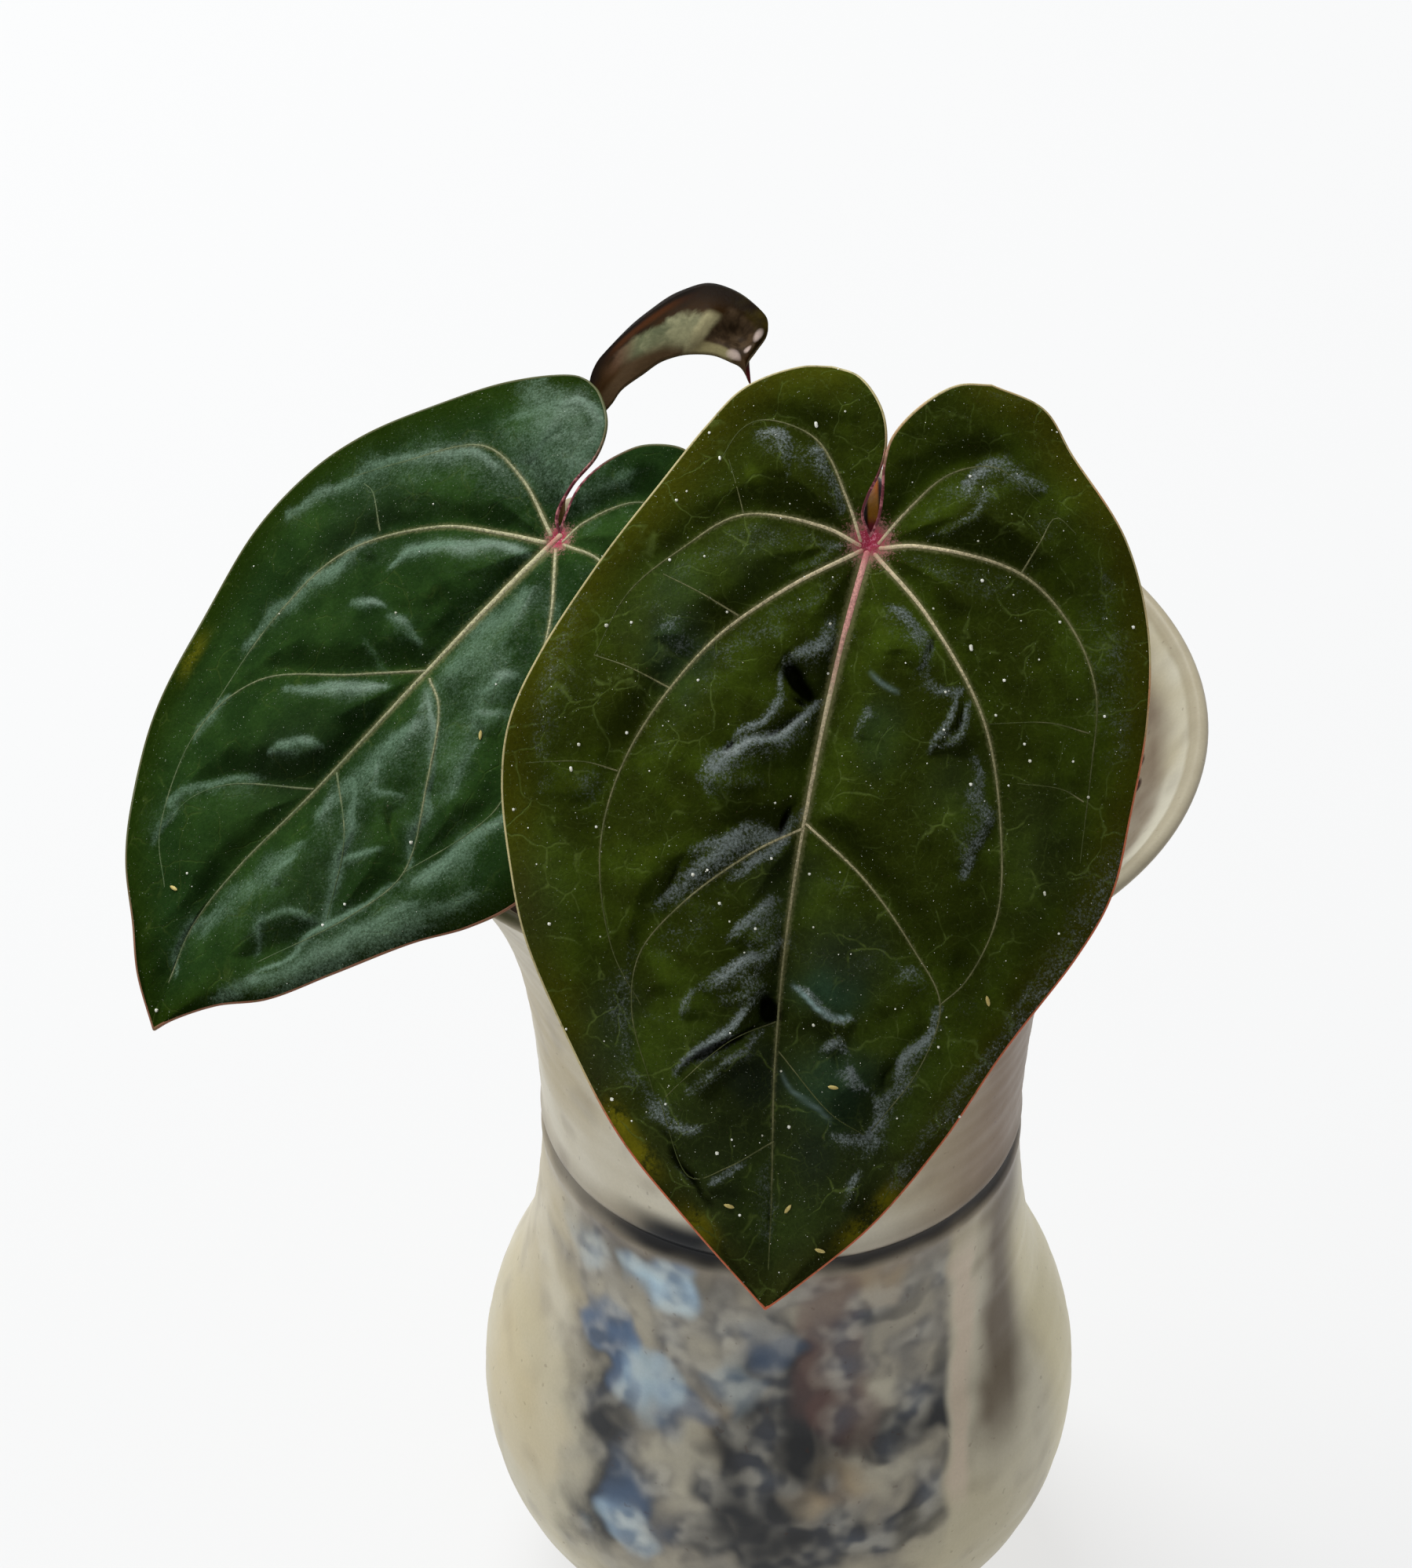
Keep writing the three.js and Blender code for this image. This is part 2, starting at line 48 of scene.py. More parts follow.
def smooth_curve(points, parts=24):
    """A centripetal Catmull-Rom curve through the points, as a fine line of places."""
    held = np.asarray(points, float)
    ends = np.vstack([2 * held[0] - held[1], held, 2 * held[-1] - held[-2]])
    share = np.linspace(0, 1, parts, endpoint=False)[:, None]
    square, cube = share ** 2, share ** 3
    pieces = []
    for before, start, end, after in zip(ends, ends[1:], ends[2:], ends[3:]):
        gaps = [max(np.linalg.norm(q - p), 1e-6) ** 0.5
                for p, q in ((before, start), (start, end), (end, after))]
        middle = (end - start) / gaps[1]
        leave = (start - before) / gaps[0] - (end - before) / (gaps[0] + gaps[1]) + middle
        arrive = middle - (after - start) / (gaps[1] + gaps[2]) + (after - end) / gaps[2]
        pieces.append((2 * cube - 3 * square + 1) * start + (cube - 2 * square + share) * leave * gaps[1]
                      + (3 * square - 2 * cube) * end + (cube - square) * arrive * gaps[1])
    return np.vstack(pieces + [held[-1:]])


def places_at(line, shares):
    """Places along a line, at shares of its length from 0 to 1."""
    steps = np.linalg.norm(np.diff(line, axis=0), axis=1)
    reached = np.concatenate([[0], np.cumsum(steps)])
    target = np.asarray(shares) * reached[-1]
    return np.stack([np.interp(target, reached, line[:, k]) for k in range(line.shape[1])], axis=1)


def evenly(points, count):
    return places_at(smooth_curve(points), np.linspace(0, 1, count + 1))


def rise(value, low, high):
    """0 below low and 1 above high, with a smooth slope between."""
    share = np.clip((value - low) / (high - low), 0, 1)
    return share * share * (3 - 2 * share)


def smooth_between(share, marks):
    """Values between marks of (share, value), with smooth slopes."""
    k = np.clip(np.searchsorted(marks[:, 0], share, side="right") - 1, 0, len(marks) - 2)
    return marks[k, 1] + (marks[k + 1, 1] - marks[k, 1]) * rise(share, marks[k, 0], marks[k + 1, 0])


def measure(line, places):
    """Distance of each place from a line in the plan, the share of the line reached, and the side."""
    start, run = line[:-1], np.diff(line, axis=0)
    length = np.linalg.norm(run, axis=1)
    reached = np.concatenate([[0], np.cumsum(length)])
    gap = places[:, None, :] - start
    share = np.clip((gap * run).sum(-1) / length ** 2, 0, 1)
    off = gap - share[..., None] * run
    distance = np.linalg.norm(off, axis=-1)
    best = distance.argmin(axis=1)
    pick = (np.arange(len(places)), best)
    along = (reached[best] + share[pick] * length[best]) / reached[-1]
    side = np.sign(run[best, 0] * off[pick][:, 1] - run[best, 1] * off[pick][:, 0])
    return distance[pick], along, side


def near_path(path, places):
    return measure(smooth_curve(path, 6), places)


def stroke(path, width, places, ends):
    """1 on a path and 0 far from it, sinking towards the path's ends."""
    distance, along, _ = near_path(path, places)
    return np.sin(np.pi * along) ** ends * np.exp(-(distance / width) ** 2)


def spot(middle, reach, places, power=1.0):
    """1 in the middle of a spot and 0 far from it."""
    return np.exp(-(((places - middle) / reach) ** 2).sum(1) ** power)


def strongest(shapes, places):
    """The strongest of several shapes at each place, or 0."""
    return np.max([np.zeros(len(places)), *shapes], axis=0)


def ripple(places, size, seed):
    """Uneven waves of about one size over the plan, mostly between -1 and 1."""
    total = np.zeros(len(places))
    for k in range(6):
        turn = seed + 1.9 * k
        ahead = np.array([math.cos(turn), math.sin(turn)])
        beside = np.array([-ahead[1], ahead[0]])
        bend = 1.7 * np.sin(places @ beside * math.tau / (2.1 * size) + k)
        total += np.sin(places @ ahead * math.tau / (size * (0.8 + 0.12 * k)) + 2.3 * k + bend)
    return total / 4


def wandered(places, size=13, reach=1.2):
    """Places moved a little about, so that what is measured from them gets uneven edges."""
    return places + reach * np.stack([ripple(places, size, 1), ripple(places, size, 4)], axis=1)


# Meshes

def new_mesh(name, places, faces, material=None):
    mesh = bpy.data.meshes.new(name)
    mesh.from_pydata((np.asarray(places, float) * MM).tolist(), [], [list(map(int, f)) for f in faces])
    if material:
        mesh.materials.append(material)
    return mesh


def new_object(name, data):
    made = bpy.data.objects.new(name, data)
    bpy.context.scene.collection.objects.link(made)
    return made


def register(piece, replaces=()):
    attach(piece, BODY)
    if replaces:
        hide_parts(*replaces)
    return piece


def mesh_piece(name, places, faces, material, replaces=(), values=None, plan=None):
    """A smooth mesh piece of the plant from places in millimetres, with named values at its points."""
    mesh = new_mesh(name, places, faces, material)
    mesh.polygons.foreach_set("use_smooth", [True] * len(mesh.polygons))
    for key, numbers in (values or {}).items():
        mesh.attributes.new(key, "FLOAT", "POINT").data.foreach_set("value", np.asarray(numbers, float))
    if plan is not None:
        corner = np.empty(len(mesh.loops), dtype=np.int32)
        mesh.loops.foreach_get("vertex_index", corner)
        layer = mesh.uv_layers.new(name="plan")
        layer.data.foreach_set("uv", (np.asarray(plan, float)[corner] * 0.01).ravel())
    return register(new_object(name, mesh), replaces)


def grid_faces(rows, columns, wrap=False, first=0):
    """Quads over a grid of points; wrap joins the last column to the first."""
    faces = []
    for i in range(rows - 1):
        for j in range(columns if wrap else columns - 1):
            k = (j + 1) % columns
            low, high = first + i * columns, first + (i + 1) * columns
            faces.append((low + j, low + k, high + k, high + j))
    return faces


def ring_faces(rows, sides):
    """Faces over a stack of rings, closed by a face at each end."""
    last = (rows - 1) * sides
    return grid_faces(rows, sides, wrap=True) + [range(sides)[::-1], range(last, last + sides)]


def half_faces(rows, columns):
    """Faces over two halves of a blade, which lie on either side of its midrib."""
    first = [face[::-1] for face in grid_faces(rows, columns)]
    return first + grid_faces(rows, columns, first=rows * columns)


def half_edges(rows, columns):
    """The line round each half: down the notch's side and along the margin to the tip."""
    grid = np.arange(2 * rows * columns).reshape(2, rows, columns)
    return [np.concatenate([half[0, :-1], half[:, -1]]) for half in grid]


def closed_blade(top, drop, rows, columns):
    """Places and faces of a blade: its upper face, the lower one and the strip round the edge."""
    count = len(top)
    upper = half_faces(rows, columns)
    faces = upper + [[count + corner for corner in face[::-1]] for face in upper]
    for side, line in enumerate(half_edges(rows, columns)):
        for a, b in zip(line, line[1:]):
            face = (b, a, count + a, count + b)
            faces.append(face if side else face[::-1])
    return np.vstack([top, top - drop]), faces


def unit(vectors):
    return vectors / np.linalg.norm(vectors, axis=-1, keepdims=True)


def carried_normals(tangents):
    """A normal for each step of a line, turned as little as possible from one to the next."""
    normal = np.cross(tangents[0], np.eye(3)[np.abs(tangents[0]).argmin()])
    normals = []
    for tangent in tangents:
        normal = unit(normal - tangent * (normal @ tangent))
        normals.append(normal)
    return np.array(normals)


# Rings of a tube's domed ends: which end, how far out of it and how wide, in radii.
START_CAP = ((0, -1, 0.8, 0.3), (0, -1, 0.45, 0.8))
END_CAP = ((-1, 1, 0.45, 0.8), (-1, 1, 0.8, 0.3))
RIDGE_COUNT = 7


def tube(line, radii, sides, flatten=1.0, normals=None, ridges=0.0):
    """A closed tube along a line of places. Returns its places, its faces and each place's step."""
    line = np.asarray(line, float)
    radii = np.broadcast_to(np.asarray(radii, float), (len(line),))
    tangents = unit(np.gradient(line, axis=0))
    across = unit(np.cross(tangents, carried_normals(tangents) if normals is None else normals))
    upward = np.cross(across, tangents)
    rings = [*START_CAP, *((k, 0, 0, 1) for k in range(len(line))), *END_CAP]
    angles = np.arange(sides) / sides * math.tau
    swell = 1 + ridges * np.cos(angles * RIDGE_COUNT)
    sideways, upright = np.cos(angles) * swell, np.sin(angles) * swell * flatten
    places = []
    for k, sign, reach, width in rings:
        centre = line[k] + tangents[k] * sign * reach * radii[k]
        out = np.outer(sideways, across[k]) + np.outer(upright, upward[k])
        places.append(centre + out * radii[k] * width)
    faces = [face[::-1] for face in ring_faces(len(rings), sides)]
    return np.vstack(places), faces, np.repeat([ring[0] for ring in rings], sides)


class Parts:
    """Collects several closed bodies into the places, faces and values of one mesh."""

    def __init__(self, *keys):
        self.places, self.faces, self.count = [], [], 0
        self.values = {key: [] for key in keys}

    def add(self, places, faces, **values):
        self.faces += [[self.count + corner for corner in face] for face in faces]
        self.places.append(places)
        self.count += len(places)
        for key, numbers in self.values.items():
            numbers.append(np.broadcast_to(values[key], (len(places),)))

    def piece(self, name, material, slot, replaces=()):
        values = {key: np.concatenate(numbers) for key, numbers in self.values.items()}
        return mesh_piece(name, np.vstack(self.places), self.faces, material, replaces, values)


# Node trees

def operator(kind, flipped=False):
    """A method that adds a Math node for a socket and what stands beside it."""
    def apply(self, other):
        return self.net.math(kind, *((other, self) if flipped else (self, other)))
    return apply


class Socket:
    """An output of a node. Arithmetic on it adds Math nodes to its tree."""

    def __init__(self, net, output):
        self.net, self.output = net, output

    __add__, __radd__ = operator("ADD"), operator("ADD", True)
    __sub__, __rsub__ = operator("SUBTRACT"), operator("SUBTRACT", True)
    __mul__, __rmul__ = operator("MULTIPLY"), operator("MULTIPLY", True)
    __truediv__, __rtruediv__ = operator("DIVIDE"), operator("DIVIDE", True)
    __pow__ = operator("POWER")


def linear(red, green, blue):
    """A colour as a screen shows it, 0 to 255, turned into light."""
    parts = [channel / 255 for channel in (red, green, blue)]
    return tuple(p / 12.92 if p < 0.04045 else ((p + 0.055) / 1.055) ** 2.4 for p in parts) + (1.0,)


class Net:
    """A node tree; every node in it comes from the method node. Plain colours are as a screen shows them."""

    def __init__(self, tree):
        self.tree = tree

    def node(self, kind, settings=None, sockets=None, output=0):
        made = self.tree.nodes.new(kind)
        for name, value in (settings or {}).items():
            setattr(made, name, value)
        for name, value in (sockets or {}).items():
            if isinstance(value, Socket):
                self.tree.links.new(value.output, made.inputs[name])
            else:
                made.inputs[name].default_value = value
        return Socket(self, made.outputs[output]) if made.outputs else None

    def axes(self, vector):
        """The three parts of a vector."""
        split = self.node("ShaderNodeSeparateXYZ", None, {0: vector})
        return [Socket(self, output) for output in split.output.node.outputs]

    def math(self, operation, first, second=0.0):
        return self.node("ShaderNodeMath", {"operation": operation}, {0: first, 1: second})

    def tint(self, colour, other, factor):
        """One colour turning into another as the factor goes from 0 to 1."""
        settings = {"data_type": "RGBA", "clamp_factor": True}
        first, second = (c if isinstance(c, Socket) else linear(*c) for c in (colour, other))
        return self.node("ShaderNodeMix", settings, {0: factor, 6: first, 7: second}, 2)

    def over(self, colour, *layers):
        """A colour with tints laid over it in turn, each by its own share."""
        for other, share in layers:
            colour = self.tint(colour, other, share)
        return colour

    def shade(self, colour, factor):
        """A colour or vector scaled by a factor."""
        plain = colour if isinstance(colour, Socket) else linear(*colour)[:3]
        return self.node("ShaderNodeVectorMath", {"operation": "SCALE"}, {0: plain, "Scale": factor})

    def rise(self, value, low, high):
        settings = {"interpolation_type": "SMOOTHSTEP"}
        return self.node("ShaderNodeMapRange", settings, {0: value, 1: low, 2: high})

    def fall(self, value, low, high):
        return 1 - self.rise(value, low, high)

    def within(self, value, start, full, leave, end):
        """1 between full and leave, sinking to 0 at start and end."""
        return self.rise(value, start, full) * self.fall(value, leave, end)

    def away(self, value, middle):
        """How far a value is from a middle."""
        return self.math("ABSOLUTE", value - middle)

    def noise(self, vector, scale, detail=2.0, roughness=0.5, distortion=0.0, output=0):
        sockets = {"Vector": vector, "Scale": scale, "Detail": detail, "Roughness": roughness,
                   "Distortion": distortion}
        return self.node("ShaderNodeTexNoise", None, sockets, output)

    def cells(self, vector, scale, feature="DISTANCE_TO_EDGE"):
        return self.node("ShaderNodeTexVoronoi", {"feature": feature}, {"Vector": vector, "Scale": scale})

    def values(self, *names):
        """The named values that a mesh holds at its points."""
        return [self.node("ShaderNodeAttribute", {"attribute_name": name}, None, 2) for name in names]

    def stretched(self, vector, scale):
        return self.node("ShaderNodeMapping", None, {"Vector": vector, "Scale": scale})

    def bump(self, height, strength, distance):
        sockets = {"Height": height, "Strength": strength, "Distance": distance}
        return self.node("ShaderNodeBump", None, sockets)


def start_material(name):
    """A new material, its tree, and the place of a point in the piece's own axes."""
    material = bpy.data.materials.new(name)
    material.use_nodes = True
    material.node_tree.nodes.clear()
    net = Net(material.node_tree)
    return material, net, net.node("ShaderNodeTexCoord", None, None, 3)


def end_material(net, colour, roughness, normal, **constants):
    sockets = {"Base Color": colour, "Roughness": roughness, "Normal": normal}
    sockets.update({name.replace("_", " "): value for name, value in constants.items()})
    shader = net.node("ShaderNodeBsdfPrincipled", None, sockets)
    net.node("ShaderNodeOutputMaterial", None, {"Surface": shader})


# Leaves. Plan measures are [along the midrib, across it], from the place where the stalk joins.

BLADE_SLOT = "velvet_leaf"
BLADE_GRID = (251, 95)
BLADE_THICKNESS = 0.8
LIFT = np.array([0, -0.777, 0.629])
SKY = np.array([-0.12, 0.3, 0.95])
ARCH_TOP = 0.4
ARCH_SPAN = 0.75
WAVE_COUNT = 5.5
VALLEY_WIDTH = 14
FOLD_HEIGHT = 3.0
MAIN_VEIN = 0.25
VEIN_WIDTH = 6
VEIN_STEP = 1.2
VEIN_FLATNESS = 0.7
JOINT = (-1.5, 0)
DUST_RADIUS = 0.2

FRONT_LEAF = {
    "name": "front",
    "base": (17.2, -50.2, 354.8),
    "tip": (-5.5, -155.3, 224.9),
    "facing": (0, -0.777, 0.629),
    "midrib": [(-2.2, 0), (18, -2.6), (50, -5.4), (85, -6.5), (114, -5.3), (143, -2.1), (168.6, 0)],
    "arch": 9,
    "valley": 3.6,
    "curl": 7,
    "wave": 1.6,
    "quilt": 2.6,
    "sinus": [
        [(-2.2, 0), (-6.5, -2.5), (-11, -1.9), (-16.8, -0.1), (-23.5, 0.4), (-30.5, -1.7), (-36.7, -7.2),
         (-38.3, -13)],
        [(-2.2, 0), (-6, 1.2), (-11.8, 1.4), (-18, 1), (-24, 1.9), (-31.6, 7), (-37.5, 14.5), (-38.9, 22)],
    ],
    "margin": [
        [(-38.3, -13), (-37.2, -20.1), (-31.1, -31.5), (-22, -38.5), (-6, -48), (11, -57.8), (32.3, -67.9),
         (48.5, -72.7), (62.4, -72.5), (80.9, -67.9), (95.7, -62.5), (117.4, -49.5), (136.3, -35.6),
         (152.2, -18.7), (164.2, -4.9), (168.6, 0)],
        [(-38.9, 22), (-35.3, 34.2), (-26, 41.7), (-8.8, 55.7), (9.3, 63), (29.8, 65.3), (50.7, 64.6),
         (68.3, 62.7), (83, 56.9), (107.4, 42.9), (126.9, 33.4), (146.9, 20.5), (161.8, 6.9), (168.6, 0)],
    ],
    # Each vein: its path, its radius and its paleness, both from start to end.
    "veins": [
        ([(1.5, -0.3), (18, -2.6), (50, -5.4), (85, -6.5), (114, -5.3), (143, -2.1), (160, -0.5)],
         (0.92, 0.18), (1.3, 0.2)),
        ([(-1, -2), (-9.1, -5.9), (-21.8, -14.6), (-24.7, -26.3), (-22.1, -31.1), (-13.8, -35.2)],
         (0.45, 0.12), (0.9, 0.1)),
        ([(0, -2), (-2.9, -10.3), (-3.1, -28.5), (6, -40.6), (17, -50.9), (31.6, -56.4)],
         (0.52, 0.12), (1, 0.12)),
        ([(1, -1.5), (11.8, -17), (26.6, -32.3), (51.9, -46.2), (73.1, -49.4), (94.9, -43.8), (106, -36)],
         (0.55, 0.13), (1, 0.15)),
        ([(62.9, -5.9), (69.5, -16.1), (82.6, -29.9), (95, -37.8), (108, -37.7), (124.4, -30.8)],
         (0.32, 0.12), (0.7, 0.15)),
        ([(105.4, -5.6), (111, -15.6), (121.9, -25.4), (125.2, -27.9)], (0.2, 0.12), (0.3, 0.2)),
        ([(131.9, -3.2), (138.8, -12.7), (142, -20.1), (125.9, -29.2)], (0.2, 0.12), (0.3, 0.1)),
        ([(-1, 2), (-7.8, 6.4), (-18.1, 15.4), (-20.9, 25.1), (-14.7, 35.8)], (0.42, 0.12), (0.9, 0.1)),
        ([(0, 2.5), (-1.5, 10.7), (1.5, 33.7), (11.6, 46.3), (24.5, 53.3), (41.7, 54.7), (62.4, 55)],
         (0.55, 0.13), (1, 0.15)),
        ([(1.5, 1.5), (13.3, 14.5), (34.6, 29.9), (58, 36.8), (76.8, 38.4), (91.3, 33.7), (97.2, 28.8)],
         (0.55, 0.18), (1, 0.3)),
        ([(62, -5.5), (72.2, 8.6), (85.3, 20.8), (97.2, 28.8), (111.5, 26.1), (126.5, 17.7)],
         (0.32, 0.13), (0.75, 0.2)),
        ([(112.2, -4.7), (124.2, 8.7), (127.6, 16.1)], (0.18, 0.12), (0.25, 0.15)),
        ([(1.5, 33.7), (-6.2, 37), (-11.8, 39.7), (-9, 44.4)], (0.24, 0.12), (0.45, 0.2)),
        ([(18.8, -26.4), (14.9, -35.6), (12, -43.8)], (0.24, 0.14), (0.45, 0.25)),
        ([(36.7, -38.7), (33.2, -48.7), (31.6, -56.4)], (0.24, 0.14), (0.45, 0.25)),
        ([(-3, -28), (-8, -30), (-15, -33)], (0.18, 0.1), (0.3, 0.1)),
        ([(34, 53), (33, 44), (35, 31)], (0.18, 0.1), (0.35, 0.1)),
        ([(49, 54), (47, 49), (47, 39)], (0.18, 0.1), (0.35, 0.1)),
        ([(56, -48), (55, -55), (56, -63), (57, -68)], (0.2, 0.1), (0.4, 0.1)),
    ],
    # Each fold: its path, its width, how far the blade steps up across it and how strong the painted sheen
    # along it is.
    "folds": [
        ([(-23, -27), (-21, -22), (-14, -19)], 2, 0.3, 0.5),
        ([(-21, -14), (-17, -12), (-7, -7)], 2.4, 0.3, 0.6),
        ([(-18, 19), (-22, 24), (-21, 30), (-18, 37)], 3, 0.5, 0.6),
        ([(-4, 13), (-7, 18), (-11, 23), (-16, 24)], 2, 0.3, 0.4),
        ([(8, -17), (4, -11), (1, -6)], 2.5, 0.3, 0.35),
        ([(21, -41), (25, -37), (29, -38)], 6, 0.4, 0.35),
        ([(17, -5.5), (22, -8), (25, -11), (27, -14)], 3, 0.5, 0.85),
        ([(27, -16), (32, -15.5), (36, -15.5), (40, -18), (44, -22.5), (49, -26), (55, -30)], 1.3, 0.35, 0.8),
        ([(35.5, -6.5), (38.5, -9), (42, -12), (44, -17), (49, -23), (56, -28.5)], 2.6, 0.8, 0.95),
        ([(49, -28), (53, -25), (54, -17)], 2.6, 0.2, 0.35),
        ([(58.5, -7), (61.5, -7.5), (64, -10), (64.5, -16), (67, -22), (71, -30)], 2.2, 0.4, 0.8),
        ([(65, -12), (68, -19), (71, -24), (76, -29), (83, -35)], 3, 0.6, 1),
        ([(63.5, -6.5), (67, -11), (71, -16), (75, -21)], 1.1, 0.3, 0.8),
        ([(13, 7.5), (16, 12), (19, 15), (22, 15.5), (26, 14)], 1.7, 0.4, 0.75),
        ([(24, 17), (27.5, 18), (30, 20.5), (29, 23)], 2.6, 0.2, 0.45),
        ([(29.5, 23), (33.5, 22.5), (37.5, 21), (43, 19)], 1.2, 0.4, 0.85),
        ([(31, 26.5), (35, 26), (38.5, 24), (42, 22)], 1.1, 0.3, 0.75),
        ([(43, 29), (48, 31.5), (53, 32.5), (58.5, 32.5), (64, 31.5), (69, 30)], 2.6, 0.4, 0.85),
        ([(36, 4.5), (38.5, 3.5), (41, 2.5)], 2, 0.2, 0.45),
        ([(57, -52), (64, -52)], 4, 0.2, 0.4),
        ([(79, -10), (82, -13), (85, -16), (88, -20)], 2.2, 0.5, 0.75),
        ([(83, -9.5), (87, -12), (90, -14)], 3, 0.2, 0.5),
        ([(87.5, -8), (91, -10), (93.5, -14), (97, -19), (100, -23)], 2.6, 0.6, 0.8),
        ([(100, -9), (98, -12), (97, -15)], 2.4, 0.2, 0.5),
        ([(98, -10), (100, -14), (102, -19)], 2.4, 0.3, 0.6),
        ([(101, -25), (104, -26), (107, -27)], 1.2, 0.3, 0.6),
        ([(102, -13), (108, -16.5), (114, -22), (120, -26.5)], 1.3, 0.9, 1.1),
        ([(109, -8), (114, -14), (119, -20), (123, -24)], 1.7, 0.4, 0.6),
        ([(94, -39), (109, -39), (117, -37), (124, -33), (127, -29)], 3, 0.3, 0.4),
        ([(127, -29), (130, -26), (132, -21), (131, -19)], 2, 0.3, 0.4),
        ([(144, -16), (141, -14), (137, -9)], 1, 0.3, 0.6),
        ([(136, -3), (145, -2), (155, -2)], 3, 0.2, 0.4),
        ([(97, -4), (99, -1), (102, 3), (103, 7), (102, 10)], 1.4, 0.9, 0.5),
        ([(110, 4), (108, 8), (110, 10)], 1.7, 0.5, 0.9),
        ([(113, 11), (116, 13), (118, 16)], 1.5, 0.5, 1),
        ([(120, 18), (122, 19), (126, 17), (128, 16)], 1.4, 0.4, 1.1),
        ([(99, 28), (105, 25), (110, 23), (115, 22), (119, 20)], 2.2, 0.6, 1),
        ([(127, 9), (129, 14), (128, 20)], 2.4, 0.4, 0.5),
        ([(90, 20), (94, 25)], 3, 0.2, 0.4),
        ([(43, 68), (55, 66), (68, 60), (85, 54), (110, 44)], 6, 0.3, 0.5),
        ([(0, 52), (18, 57), (37, 61)], 7, 0.1, 0.32),
        ([(20, -62), (40, -66), (62, -64)], 4, 0.1, 0.3),
        ([(90, 48), (100, 44), (112, 38), (124, 31), (137, 24)], 3.5, 0.2, 0.45),
        ([(144, 13), (140, 14), (135, 17)], 1.6, 0.3, 0.45),
    ],
    # Each crease: its path, its width and its depth, which also sets how dark the painted shade in it is.
    "creases": [
        ([(27.5, -16.5), (29.5, -13.5), (31.5, -10), (34.5, -8), (37, -8.5)], 1.8, 1.9),
        ([(33, -12.5), (35, -10.5), (37, -8)], 1.4, 0.9),
        ([(37, -8), (40.5, -12), (43, -16), (46, -20)], 0.7, 0.8),
        ([(45, -22.5), (47, -24), (49, -25.5)], 0.8, 1.2),
        ([(57.5, -9.5), (61, -9.5), (63, -10), (65, -11.5)], 0.9, 1.3),
        ([(72.5, -30.5), (78, -33.5), (84, -36)], 0.9, 0.6),
        ([(30, 25), (34.5, 25), (37, 23.5), (39, 22)], 0.8, 0.9),
        ([(18, 16), (20, 16.2), (22.5, 15.5)], 0.7, 0.7),
        ([(105, -5.5), (108, -11), (112, -18), (117, -23), (122, -26)], 1.2, 1.5),
        ([(99, -9), (103, -8), (106, -6)], 2.4, 1.8),
        ([(110, 24), (114, 19), (120, 20)], 1.1, 0.5),
        ([(131, -29), (138, -24), (144, -18), (150, -13)], 1.0, 0.9),
    ],
    # Each pillow: its middle, its reach along and across, and how high it stands.
    "pillows": [
        ((98, 6), (8, 9), 1.1),
        ((116, 8), (7, 8), 0.9),
        ((38, -30), (14, 9), 0.8),
        ((62, -24), (10, 8), 0.7),
        ((22, 10), (8, 6), 0.7),
        ((94, -28), (9, 8), 0.6),
        ((-14, 26), (8, 8), 0.5),
    ],
    # How much painted sheen lies where the relief turns up to the sky.
    "upturn_sheen": 0.3,
    "spread": 1.5,
    "blush": 5.6,
    # Each patch of painted shade: its middle, its reach and how much darker and cooler it makes the blade.
    "shades": [((142, 0), (34, 40), 0.85), ((119, -9), (8, 8), 1.5), ((90, 6), (9, 11), 1.1),
               ((134, 6), (9, 7), 1.4), ((76, -9), (9, 8), 0.7), ((117, -42), (15, 7), 0.9),
               ((20, -44), (10, 10), 0.5), ((6, -26), (9, 8), 0.5), ((50, 26), (9, 8), 0.5),
               ((60, 45), (16, 9), 0.4), ((88, -62), (14, 8), 0.5)],
    # Each yellowed spot of the margin: its middle and its size.
    "yellow": [((139, -32), 5.5), ((131, -37), 4), ((153, -17), 5), ((149, 17), 5), ((141, 23), 4)],
    # Each glint: its path, its width and its strength.
    "glints": [([(97, -4), (99, -1), (102, 3), (103, 7), (102, 10)], 0.4, 0.8),
               ([(116, -4), (120, -1), (123, 5), (126, 9)], 0.45, 0.3),
               ([(27, 3.5), (29, 6), (30, 8), (31, 11)], 0.5, 0.35)],
    # Each dome with a bluish painted sheen: its middle, its reach and its strength.
    "domes": [((98, 3.5), (5, 8), 1.3), ((118, 8), (9, 10), 1.0), ((28, -40), (10, 6), 0.7),
              ((30, -36), (12, 5), 0.5), ((41, 8), (8, 5), 0.5), ((14, -40), (8, 6), 0.4)],
    # Each dry husk: its middle and the turn it lies at. Each grain of grit: its middle and its size.
    "seeds": [((147, -11), 80), ((146, 2), 150), ((154, 10), 80), ((95, 39), 20), ((118, 8), 90)],
    "grains": [((-25, -15), 0.7), ((19, 25), 0.75), ((57, -58), 0.6), ((-15, -35), 0.5), ((70, 48), 0.5)],
}

